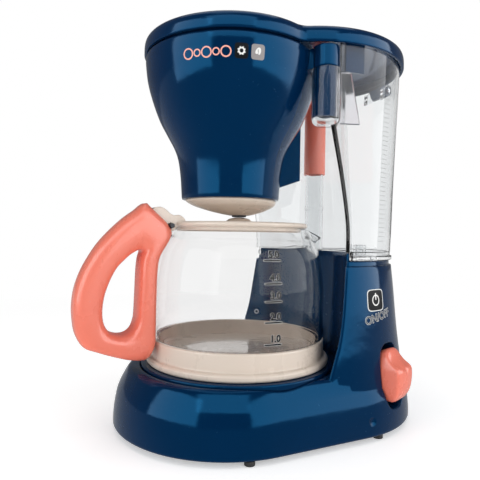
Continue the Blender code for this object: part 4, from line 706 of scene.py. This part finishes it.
clear = clear_plastic("clear_tank")
TANK_LOW, TANK_TOP = 88.8, 198.0
tank_levels = [
    (48.6, 28.3, 52.3, 0.0), (49.2, 27.9, 52.0, 0.16), (49.8, 24.0, 51.4, 0.37), (50.7, 18.5, 51.0, 0.6), (51.7, 13.9, 50.5, 0.82), (52.4, 11.4, 50.2, 1.0),
]


def bay_circle(outer, horn_x, wall_x):
    horn_y_squared = outer ** 2 - (TANK_X - horn_x) ** 2
    centre = (wall_x ** 2 - horn_x ** 2 - horn_y_squared) / (2 * (wall_x - horn_x))
    return centre, wall_x - centre


def tank_rings(inset, low, rounding):
    rings = []
    for outer, horn_x, wall_x, share in smooth_line(tank_levels, 4):
        z = TANK_LOW + (TANK_TOP - TANK_LOW) * share
        bay_x, bay_r = bay_circle(outer, horn_x, wall_x)
        if z < 93.0:
            continue
        rings.append(crescent(outer - inset, bay_x, bay_r + inset, max(z, low), rounding))
    outer = tank_levels[0][0] - inset
    foot = [crescent(outer, CARAFE_X, 61.8 + inset, max(z, low), rounding) for z in (TANK_LOW, 93.4)]
    return foot + rings


outer_rings = tank_rings(0.0, TANK_LOW, 1.4)
inner_rings = tank_rings(1.2, TANK_LOW + 2.4, 0.5)
tank = loft("tank", outer_rings + inner_rings[::-1], clear)
flange = loft("tank_flange", [crescent(49.6 - e, CARAFE_X, 61.8, z) for z, e in ((88.8, 0.3), (89.1, 0.0), (90.7, 0.0), (91.0, 0.3))])
joined = [flange]
cutters = []
for side in (-1, 1):
    y = side * 43.9
    cup = smooth_line([(3.2, 156.0), (5.1, 156.6), (6.5, 158.0), (7.1, 160.6)], 3) + [(7.1, 184.5)]
    joined.append(lathe(f"socket_{side}", 18.1, y, cup, count=72))
    bore = [(3.4, 158.8), (5.7, 160.2), (5.7, 184.35), (7.4, 184.35), (7.4, 202.0)]
    cutters.append(lathe(f"socket_bore_{side}", 18.1, y, bore, count=72))
    ear_line = [(87.3, 187.6)] + [
        (93.4 + 3.2 * math.cos(math.radians(a)), 194.0 + 3.2 * math.sin(math.radians(a))) for a in range(-90, 151, 12)
    ] + [(87.3, 194.0)]
    joined.append(prism(f"ear_{side}", ear_line, *sorted((side * 6.4, side * 9.2))))
joined.append(rod("inlet_boss", (58.2, -23.0, 90.0), (58.2, -23.0, 96.6), 3.6))
joined += [rod(f"spigot_{side}", (58.2, side * 23.0, 82.0), (58.2, side * 23.0, 90.0), 3.0) for side in (-1, 1)]
cutters += [rod(f"way_{side}", (58.2, side * 23.0, 78.0), (58.2, side * 23.0, 100.6), 1.8) for side in (-1, 1)]
cutters.append(rod("ear_bore", (93.4, -14.0, 194.0), (93.4, 14.0, 194.0), 1.5))
pipe_start = Vector((58.2, 23.0, 191.0))
pipe_aim = (Vector((HEAD_X, 0.0, 191.0)) - pipe_start).normalized()
pipe_end = pipe_start + pipe_aim * 31.0
notch_side = Vector((-pipe_aim.y, pipe_aim.x, 0.0)) * 4.8
bowl = [math.pi * (1 + i / 16) for i in range(17)]
notch = [
    [tuple(p - notch_side + Vector((0, 0, 11.0)))]
    + [tuple(p + notch_side * math.cos(a) + Vector((0, 0, 4.8 * math.sin(a)))) for a in bowl]
    + [tuple(p + notch_side + Vector((0, 0, 11.0)))]
    for p in (pipe_start, pipe_end)
]
cutters.append(loft("pipe_notch", notch))
shape(tank, joined, cutters)
dress(tank, "machine", "clear_plastic", "tank_shell")
pane_clear = clear_plastic("clear_pane", (0.84, 0.82, 0.85), (0.06, 0.16))
pane_line = [(7.3, 157.4), (17.5, 157.4), (12.5, 183.1), (7.3, 183.1)]
for side in (-1, 1):
    pane = prism(f"tank_pane_{side}", pane_line, -0.9, 0.9, pane_clear)
    pane.data.transform(Matrix.Translation((18.1 * MM, side * 43.9 * MM, 0.0)) @ Matrix.Rotation(side * math.radians(20.0), 4, "Z"))
    edge = pane.modifiers.new("edge", "BEVEL")
    edge.width = 0.4 * MM
    edge.segments = 3
    dress(bake(pane), "machine", "clear_plastic")


def rib_rule(name):
    """Geometry Nodes: a column of fine lying ribs, in millimetres."""
    group = bpy.data.node_groups.new(name, "GeometryNodeTree")
    kinds = {"Count": "Int", "Spacing": "Float", "Width": "Float", "Radius": "Float", "Finish": "Material"}
    for label, kind in kinds.items():
        group.interface.new_socket(label, in_out="INPUT", socket_type="NodeSocket" + kind)
    group.interface.new_socket("Geometry", in_out="OUTPUT", socket_type="NodeSocketGeometry")
    given = node(group, "NodeGroupInput")
    rise = node(group, "ShaderNodeCombineXYZ", {}, 0.0, given["Spacing"], 0.0)["Vector"]
    line = node(group, "GeometryNodeMeshLine", {}, Count=given["Count"], Offset=rise)["Mesh"]
    rib = node(group, "GeometryNodeMeshCylinder", {}, Vertices=10, Radius=given["Radius"], Depth=given["Width"])["Mesh"]
    lying = node(group, "GeometryNodeTransform", {}, Geometry=rib, Rotation=(0.0, math.pi / 2, 0.0))["Geometry"]
    many = node(group, "GeometryNodeInstanceOnPoints", {}, Points=line, Instance=lying)["Instances"]
    real = node(group, "GeometryNodeRealizeInstances", {}, Geometry=many)["Geometry"]
    finished = node(group, "GeometryNodeSetMaterial", {}, Geometry=real, Material=given["Finish"])["Geometry"]
    group.links.new(finished.out, group.nodes.new("NodeGroupOutput").inputs["Geometry"])
    return group


def grow(name, group, **given):
    """The mesh that a Geometry Nodes group makes from the given inputs."""
    made = bpy.data.objects.new(name, bpy.data.meshes.new(name))
    bpy.context.collection.objects.link(made)
    step = made.modifiers.new("rule", "NODES")
    step.node_group = group
    for item in group.interface.items_tree:
        if item.in_out == "INPUT":
            step[item.identifier] = given[item.name]
    bpy.context.view_layer.update()
    grown = bpy.data.meshes.new_from_object(made.evaluated_get(bpy.context.evaluated_depsgraph_get()))
    made.modifiers.clear()
    made.data = grown
    grown.polygons.foreach_set("use_smooth", [True] * len(grown.polygons))
    grown.set_sharp_from_angle(angle=math.radians(40.0))
    return made


tank_wall = TANK_X, radius_from([(TANK_LOW + (TANK_TOP - TANK_LOW) * share, r) for r, _, _, share in tank_levels])
ribs = grow("level_ribs", rib_rule("level_rib_rule"), Count=36, Spacing=2.4, Width=5.0, Radius=0.11, Finish=clear)
wrap(ribs, *tank_wall, math.radians(-69.0), 99.0, lift=0.0)
dress(ribs, "machine", "clear_plastic")

# Riser. A clear tube on the tank's floor, and a coral sleeve on it with a side pipe to the head.
tube = lathe("tube", 58.2, 23.0, rounded([(4.5, 91.5), (5.9, 91.5), (5.9, 118.6), (6.3, 119.0), (6.3, 120.4), (5.9, 120.8), (5.9, 185.0), (4.5, 185.0)], 0.2), clear, loop=True, count=72)
dress(tube, "machine", "clear_plastic", "riser_tube")
sleeve = lathe("sleeve", 58.2, 23.0, rounded([(6.2, 141.5), (7.1, 141.5), (7.1, 197.0), (2.0, 197.0)], 0.6, 4) + [(0.5, 197.0)], coral, count=72)
pipe = rod("side_pipe", pipe_start, pipe_end, 4.2)
sleeve_room = lathe("sleeve_room", 58.2, 23.0, [(6.2, 137.0), (6.2, 195.2)], count=72)
pipe_way = rod("pipe_way", pipe_start, pipe_end + pipe_aim * 4.0, 2.8)
shape(sleeve, (pipe,), (sleeve_room, pipe_way))
dress(sleeve, "machine", "coral_gloss", "riser_sleeve")

# Head. The navy bowl that holds the grounds, with pegs that drop into the tank's sockets and a channel at its back.
head_line = smooth_line([
    (26.7, 120.2), (27.1, 126.5), (27.6, 132.9), (28.8, 141.1), (30.95, 147.4), (34.8, 154.5), (39.2, 162.7), (43.15, 173.2), (45.6, 182.1), (46.7, 190.3), (46.9, 194.4),
])
head_outside = [(26.2, 120.2), (26.55, 120.35)] + head_line[1:] + [(46.7, 194.75), (46.4, 194.8), (44.7, 194.8), (44.5, 195.0), (44.5, 200.0)]
head = lathe("head", HEAD_X, 0.0, head_outside, navy)
channel = [(HEAD_X, 128.2), (13.1, 128.2), (26.2, 132.8), (26.2, 176.0), (HEAD_X, 176.0)]
head_joined = [prism("channel", channel, -8.5, 8.5)]
for side in (-1, 1):
    y = side * 43.9
    peg = [(1.6, 159.1), (3.4, 159.6), (4.7, 160.8), (5.3, 162.6), (5.3, 184.8), (6.2, 184.8), (6.5, 185.1), (6.5, 195.1), (6.2, 195.4)]
    head_joined.append(lathe(f"peg_{side}", 18.1, y, peg, count=72))
    web = box(f"web_{side}", (0.0, -3.5, 184.9), (11.0, 3.5, 194.5))
    inward = Vector((HEAD_X - 18.1, -y, 0.0))
    web.data.transform(Matrix.Translation((18.1 * MM, y * MM, 0.0)) @ Matrix.Rotation(math.atan2(inward.y, inward.x), 4, "Z"))
    head_joined.append(web)
head_inside = [(24.5, 116.0)] + [(r - 2.2, z) for r, z in head_line[3:-1:3]] + [(42.3, 192.6), (42.3, 204.0)]
head_cut = [lathe("head_room", HEAD_X, 0.0, head_inside), rod("pipe_hole", pipe_start, pipe_end + pipe_aim * 4.0, 4.8)]
shape(head, head_joined, head_cut)
dress(head, "machine", "navy_gloss", "head_shell")

# Head print. A generic row: a garland of coral rings, a dark tile with a plain sun, and a grey tile with a plain leaf.
coral_print = plastic("print_coral", (0.93, 0.42, 0.34), 0.06, (0.3, 0.45), 0.0, 0.0, 0.00001, shine=0.1)
grey_print = plastic("print_grey", (0.3, 0.28, 0.28), 0.1, (0.3, 0.45), 0.0, 0.0, 0.00001, shine=0.1)
head_wall = HEAD_X, radius_from([(z, r) for r, z in head_line])
garland = [
    (ring_line(2.6), ring_line(1.95)), (ring_line(1.8), ring_line(1.2)), (ring_line(2.6), ring_line(1.95)),
    (ring_line(1.8), ring_line(1.2)), (ring_line(2.6), ring_line(1.95)),
]
for i, rings in enumerate(garland):
    place = *head_wall, math.radians(-141.0 + 5.7 * i), 185.2
    dress(stamp(f"head_ring_{i}", rings, coral_print, place, lift=0.05), "machine", None)
sun_place = *head_wall, math.radians(-109.3), 185.6
leaf_place = *head_wall, math.radians(-99.6), 185.6
dress(stamp("head_tile_dark", [ring_line(3.2, power=0.35, tall=1.08)], black_print_and_shade, sun_place), "machine", None)
dress(stamp("head_tile_grey", [ring_line(3.2, power=0.35, tall=1.08)], grey_print, leaf_place), "machine", None)
rays_line = [
    ((2.1 if i % 2 else 1.5) * math.cos(math.pi * i / 8), (2.1 if i % 2 else 1.5) * math.sin(math.pi * i / 8)) for i in range(16)
]
dress(stamp("head_sun", [rays_line, ring_line(0.9, count=24)], white_print, sun_place, lift=0.07), "machine", None)
leaf_line = [(1.3 * math.sin(a), 2.1 * math.cos(a) * abs(math.cos(a / 2)) ** 0.3) for a in np.linspace(0.0, 2 * math.pi, 32, endpoint=False)]
leaf_line = [(x * 0.94 + y * 0.34, y * 0.94 - x * 0.34) for x, y in leaf_line]
dress(stamp("head_leaf", [leaf_line, bar_line(0.35, 2.2)], white_print, leaf_place, lift=0.07), "machine", None)

# Drip funnel and valve. A cream funnel closes the head below, and a small dark valve hangs in its tip.
cream = plastic("cream_plastic", (0.72, 0.62, 0.53), 0.04, (0.22, 0.36), 0.15, 0.0006, 0.00004, 0.08)
funnel_line = smooth_line([(0.0, 24.8), (0.08, 24.75), (0.24, 23.55), (0.42, 21.3), (0.72, 14.9), (0.92, 8.9)], 5)
funnel_rings = [
    circle(HEAD_X + (CARAFE_X - HEAD_X) * drop, 0.0, r, 119.9 + (112.1 - 119.9) * drop) for drop, r in funnel_line
]
inside = [
    circle(HEAD_X, 0.0, 24.2, 119.9), circle(HEAD_X, 0.0, 24.2, 127.2), circle(HEAD_X, 0.0, 22.4, 127.2), circle(HEAD_X, 0.0, 22.4, 120.2),
    circle(CARAFE_X, 0.0, 6.4, 117.1), circle(CARAFE_X, 0.0, 1.9, 117.1), circle(CARAFE_X, 0.0, 1.9, 115.3), circle(CARAFE_X, 0.0, 4.6, 115.3),
    circle(CARAFE_X, 0.0, 4.6, 112.1), circle(CARAFE_X, 0.0, 5.6, 112.1),
]
funnel = loft("funnel", funnel_rings[::-1] + inside, cream, loop=True)
dress(funnel, "machine", "cream_gloss", "drip_funnel")
valve = lathe("valve", CARAFE_X, 0.0, rounded([(0.6, 111.2), (4.0, 111.2), (4.0, 113.0), (1.5, 113.0), (1.5, 117.4), (3.2, 117.4), (3.2, 118.6), (0.6, 118.6)], 0.25), dark, count=64)
dress(valve, "valve", "dark_matte", "drip_valve")

# Cover. One navy lid over head and tank, in the outline of two joined circles, hinged behind the tank.
def cover_ring(inset, z):
    near, far, valley = 47.7 - inset, 54.5 - inset, 8.0 + inset
    apart = TANK_X - HEAD_X
    along = (apart ** 2 + (near + valley) ** 2 - (far + valley) ** 2) / (2 * apart)
    over = math.sqrt((near + valley) ** 2 - along ** 2)
    near_turn = math.atan2(over, along)
    far_turn = math.atan2(over, along - apart)
    far_arc = arc(TANK_X, 0.0, far, -far_turn, far_turn, z, 120)
    near_arc = arc(HEAD_X, 0.0, near, near_turn, 2 * math.pi - near_turn, z, 120)
    rear = arc(HEAD_X + along, over, valley, far_turn + math.pi, near_turn + math.pi, z, 18)
    front = arc(HEAD_X + along, -over, valley, math.pi - near_turn, math.pi - far_turn, z, 18)
    return far_arc + rear[1:-1] + near_arc + front[1:-1]


cover_line = smooth_line([(0.0, 196.4), (0.05, 200.0), (0.5, 202.2), (1.35, 203.5), (2.7, 204.3), (5.0, 204.7), (6.6, 204.75)], 5)
cover_skin = [cover_ring(0.4, 196.0), cover_ring(0.12, 196.1)] + [cover_ring(i, z) for i, z in cover_line]
cover_skin += [cover_ring(i, z) for i, z in ((7.1, 204.9), (7.5, 205.5), (8.0, 206.1), (8.7, 206.45), (9.8, 206.6), (20.0, 206.75), (30.0, 206.9))]
hollow = [cover_ring(1.7, 196.0), cover_ring(1.7, 201.9), cover_ring(5.2, 203.6)]
cover = loft("cover", hollow[::-1] + cover_skin, navy)
cover_joined = []
for side in (-1, 1):
    start, end = side * math.radians(88.0), side * math.radians(101.0)
    tab = [arc(TANK_X, 0.0, 48.9, start, end, z, 14) + arc(TANK_X, 0.0, 47.3, end, start, z, 14) for z in (183.6, 204.9)]
    cover_joined.append(loft(f"tab_{side}", tab))
knuckle_line = [(88.65, 196.3)] + [
    (93.4 + 3.2 * math.cos(math.radians(a)), 194.0 + 3.2 * math.sin(math.radians(a))) for a in range(-160, 91, 10)
] + [(88.65, 199.4)]
cover_joined.append(prism("knuckle", knuckle_line, -6.0, 6.0))
cover_cut = [box("ledge", (-70.0, -14.0, 204.6), (-52.8, 14.0, 212.0)), rod("knuckle_bore", (93.4, -10.0, 194.0), (93.4, 10.0, 194.0), 1.5)]
shape(cover, cover_joined, cover_cut)
dress(cover, "cover", "navy_gloss", "top_cover")

# Carafe. A cream cup holds a thin clear jug with a pressed spout, and a flat cream lid lies on its rim.
cup_line = [(49.2, 33.0), (50.0, 33.9), (50.0, 35.6), (49.2, 36.6), (47.9, 36.8), (47.5, 37.4), (47.5, 45.2), (47.1, 45.8), (45.7, 45.8), (45.6, 45.6), (45.6, 36.0)]
cup = lathe("cup", CARAFE_X, 0.0, rounded(cup_line, 0.25), cream)
dress(cup, "carafe", "cream_gloss", "carafe_cup")

jug_clear = clear_plastic("clear_jug", (0.925, 0.925, 0.925), (0.01, 0.04), 1.24)
SPOUT_PUSH, SPOUT_DROP, SPOUT_WIDTH = 17.0, 5.2, math.radians(15.0)


def jug_ring(radius, z, spout, count=192):
    ring = []
    for i in range(count):
        a = 2 * math.pi * i / count
        off = (a + math.pi) % (2 * math.pi) - math.pi
        share = spout * math.exp(-((off / SPOUT_WIDTH) ** 2))
        reach = radius + SPOUT_PUSH * share
        ring.append((CARAFE_X + reach * math.cos(a), reach * math.sin(a), z - SPOUT_DROP * share))
    return ring


jug_line = smooth_line([
    (46.6, 46.1, 0.0), (47.2, 48.0, 0.0), (47.3, 60.8, 0.0), (47.2, 73.1, 0.0), (46.4, 81.4, 0.0), (45.27, 87.9, 0.02), (44.1, 92.6, 0.1), (42.6, 96.1, 0.27),
    (41.4, 98.1, 0.43), (39.65, 99.9, 0.6), (38.1, 102.6, 0.84), (37.2, 104.7, 1.0), (37.0, 104.9, 1.0),
], 4)
jug_low = [jug_ring(42.0, 36.3, 0.0), jug_ring(44.0, 36.7, 0.0), jug_ring(45.2, 38.1, 0.0), jug_ring(45.3, 45.6, 0.0)]
jug_outer = [jug_ring(r, z, s) for r, z, s in jug_line]
jug_inner = [jug_ring(r - 1.7, z, s) for r, z, s in jug_line[2::2]][::-1]
jug_floor = [jug_ring(43.5, 45.6, 0.0), jug_ring(43.3, 40.0, 0.0), jug_ring(42.0, 38.4, 0.0), jug_ring(39.0, 38.1, 0.0)]
jug = loft("jug", jug_low + jug_outer + jug_inner + jug_floor, jug_clear)
dress(jug, "carafe", "clear_plastic", "carafe_jug")

# Jug scale. Plain numbers over short lines, dark with a pale rim, printed on the glass.
jug_wall = CARAFE_X, radius_from([(z, r) for r, z, _ in jug_line])
for i, (label, z) in enumerate((("1", 49.8), ("2", 60.2), ("3", 70.0), ("4", 78.4), ("5", 89.2))):
    line_place = *jug_wall, math.radians(-94.5), z
    word_place = *jug_wall, math.radians(-93.2), z + 2.7
    made = (
        stamp(f"scale_line_rim_{i}", [bar_line(9.2, 1.0)], white_print, line_place, lift=0.03),
        stamp(f"scale_line_{i}", [bar_line(8.9, 0.75)], black_print_and_shade, line_place, lift=0.07),
        stamp(f"scale_number_rim_{i}", label + ".0", white_print, word_place, 0.26, 3.2, lift=0.03),
        stamp(f"scale_number_{i}", label + ".0", black_print_and_shade, word_place, 0.18, 3.2, lift=0.07),
    )
    for piece in made:
        dress(piece, "carafe", None)

# Handle. A closed coral grip, round in section, that hangs from the lid's hinge and stands off the glass.
HANDLE_STATIONS = (
    ((0.7, 1.0), (0.629, 0.7)), ((0.581, 0.95), (0.585, 0.686)), ((0.468, 0.896), (0.534, 0.665)),
    ((0.347, 0.822), (0.476, 0.631)), ((0.238, 0.743), (0.416, 0.591)), ((0.143, 0.65), (0.369, 0.54)),
    ((0.071, 0.56), (0.329, 0.481)), ((0.02, 0.462), (0.297, 0.417)), ((0.0, 0.365), (0.28, 0.345)),
    ((0.004, 0.28), (0.282, 0.279)), ((0.028, 0.189), (0.304, 0.229)), ((0.099, 0.108), (0.343, 0.193)),
    ((0.218, 0.072), (0.387, 0.176)), ((0.385, 0.033), (0.446, 0.167)), ((0.556, 0.002), (0.514, 0.173)),
    ((0.714, 0.0), (0.569, 0.203)), ((0.794, 0.076), (0.599, 0.253)), ((0.804, 0.19), (0.609, 0.297)),
    ((0.806, 0.379), (0.617, 0.42)), ((0.815, 0.566), (0.625, 0.568)), ((0.843, 0.664), (0.637, 0.645)),
    ((0.962, 0.815), (0.651, 0.683)), ((0.845, 0.92), (0.643, 0.697)),
)
stations = []
for outer_share, inner_share in HANDLE_STATIONS:
    stations.append((-96.6 + 50.4 * outer_share[0], 37.5 + 79.2 * outer_share[1], -96.6 + 50.4 * inner_share[0], 37.5 + 79.2 * inner_share[1]))
closed = smooth_line(stations[-2:] + stations + stations[:2], 4)[8:-8]
rings = []
for out_x, out_z, in_x, in_z in closed[:-1]:
    middle = Vector(((out_x + in_x) / 2, 0.0, (out_z + in_z) / 2))
    half = Vector(((out_x - in_x) / 2, 0.0, (out_z - in_z) / 2))
    ring = []
    for i in range(40):
        a = 2 * math.pi * i / 40
        s, c = math.sin(a), math.cos(a)
        ring.append(middle + half * math.copysign(abs(c) ** 0.62, c) + Vector((0.0, 9.0 * math.copysign(abs(s) ** 0.62, s), 0.0)))
    rings.append(ring)
handle = loft("handle", rings, coral, loop=True)
PIVOT_X, PIVOT_Z = -49.1, 105.4
slot_line = [(-11.6, 14.0), (-11.6, 5.6), (-6.2, -1.8), (-2.0, -3.6), (15.0, -3.6), (15.0, 14.0)]
lever_slot = prism("lever_slot", [(PIVOT_X + x, PIVOT_Z + z) for x, z in slot_line], -5.1, 5.1)
pivot_hole = rod("pivot_hole", (PIVOT_X, -16.0, PIVOT_Z), (PIVOT_X, 16.0, PIVOT_Z), 1.5)
shape(handle, (), (lever_slot, pivot_hole))
dress(handle, "carafe", "coral_gloss", "carafe_handle")

# Carafe lid. A cream disc with a low knob and a wavy thumb lever that reaches into the handle.
lid_line = [(33.3, 105.2), (33.3, 103.2), (34.6, 103.2), (34.6, 105.2), (37.2, 105.2), (38.0, 106.0), (38.0, 107.0), (37.2, 107.8), (9.0, 107.8), (7.6, 108.6), (5.6, 110.2), (2.4, 110.9)]
lid = lathe("lid", CARAFE_X, 0.0, rounded(lid_line, 0.4) + [(0.4, 110.9)], cream)
lever_points = [
    (8.6, 2.2), (7.0, 4.5), (4.6, 5.7), (2.2, 5.5), (0.0, 6.3), (-2.6, 8.5), (-5.6, 9.6), (-8.8, 8.7), (-9.6, 6.2), (-5.6, 0.8), (-1.6, -2.2), (2.0, -2.5), (3.4, -0.15),
]
lever_wave = smooth_line(lever_points, 6)
lever_line = [(PIVOT_X + x, PIVOT_Z + z) for x, z in lever_wave] + [(PIVOT_X + 8.0, PIVOT_Z - 0.15)]
lever = prism("lever", lever_line, -4.4, 4.4)
edge = lever.modifiers.new("edge", "BEVEL")
edge.width = 0.9 * MM
edge.segments = 4
edge.limit_method = "ANGLE"
edge.angle_limit = math.radians(60.0)
lever = bake(lever)
lever_bore = rod("lever_bore", (PIVOT_X, -8.0, PIVOT_Z), (PIVOT_X, 8.0, PIVOT_Z), 1.5)
shape(lid, (lever,), (lever_bore,))
dress(lid, "carafe", "cream_gloss", "carafe_lid")

# Inside pieces and pins. Steel pins and motor, silicone hoses, wrapped cells and the pump's rotor.
steel, tree, shader = new_material("drawn_steel")
grain = noise(tree, 400.0, 3.0, (1.0, 1.0, 0.1))
feed(tree, shader.inputs["Base Color"], mix_colours(tree, grain, (0.52, 0.53, 0.55), (0.66, 0.66, 0.68)))
feed(tree, shader.inputs["Roughness"], grain.spread(0.3, 0.7, 0.2, 0.36))
shader.inputs["Metallic"].default_value = 1.0
repaint(steel, "rocker_axle", "pump_motor", "hinge_pin")
repaint(dark, "lid_pin")
silicone = plastic("silicone", (0.72, 0.73, 0.73), 0.06, (0.4, 0.55), 0.0, 0.0003, 0.00005, 0.2)
repaint(silicone, "inlet_hose", "outlet_hose")
wrap = plastic("cell_wrap", (0.05, 0.055, 0.06), 0.2, (0.25, 0.4), 0.1, 0.0003, 0.00003)
repaint(wrap, "battery_front", "battery_rear")
repaint(cream, "pump_rotor")

low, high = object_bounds()
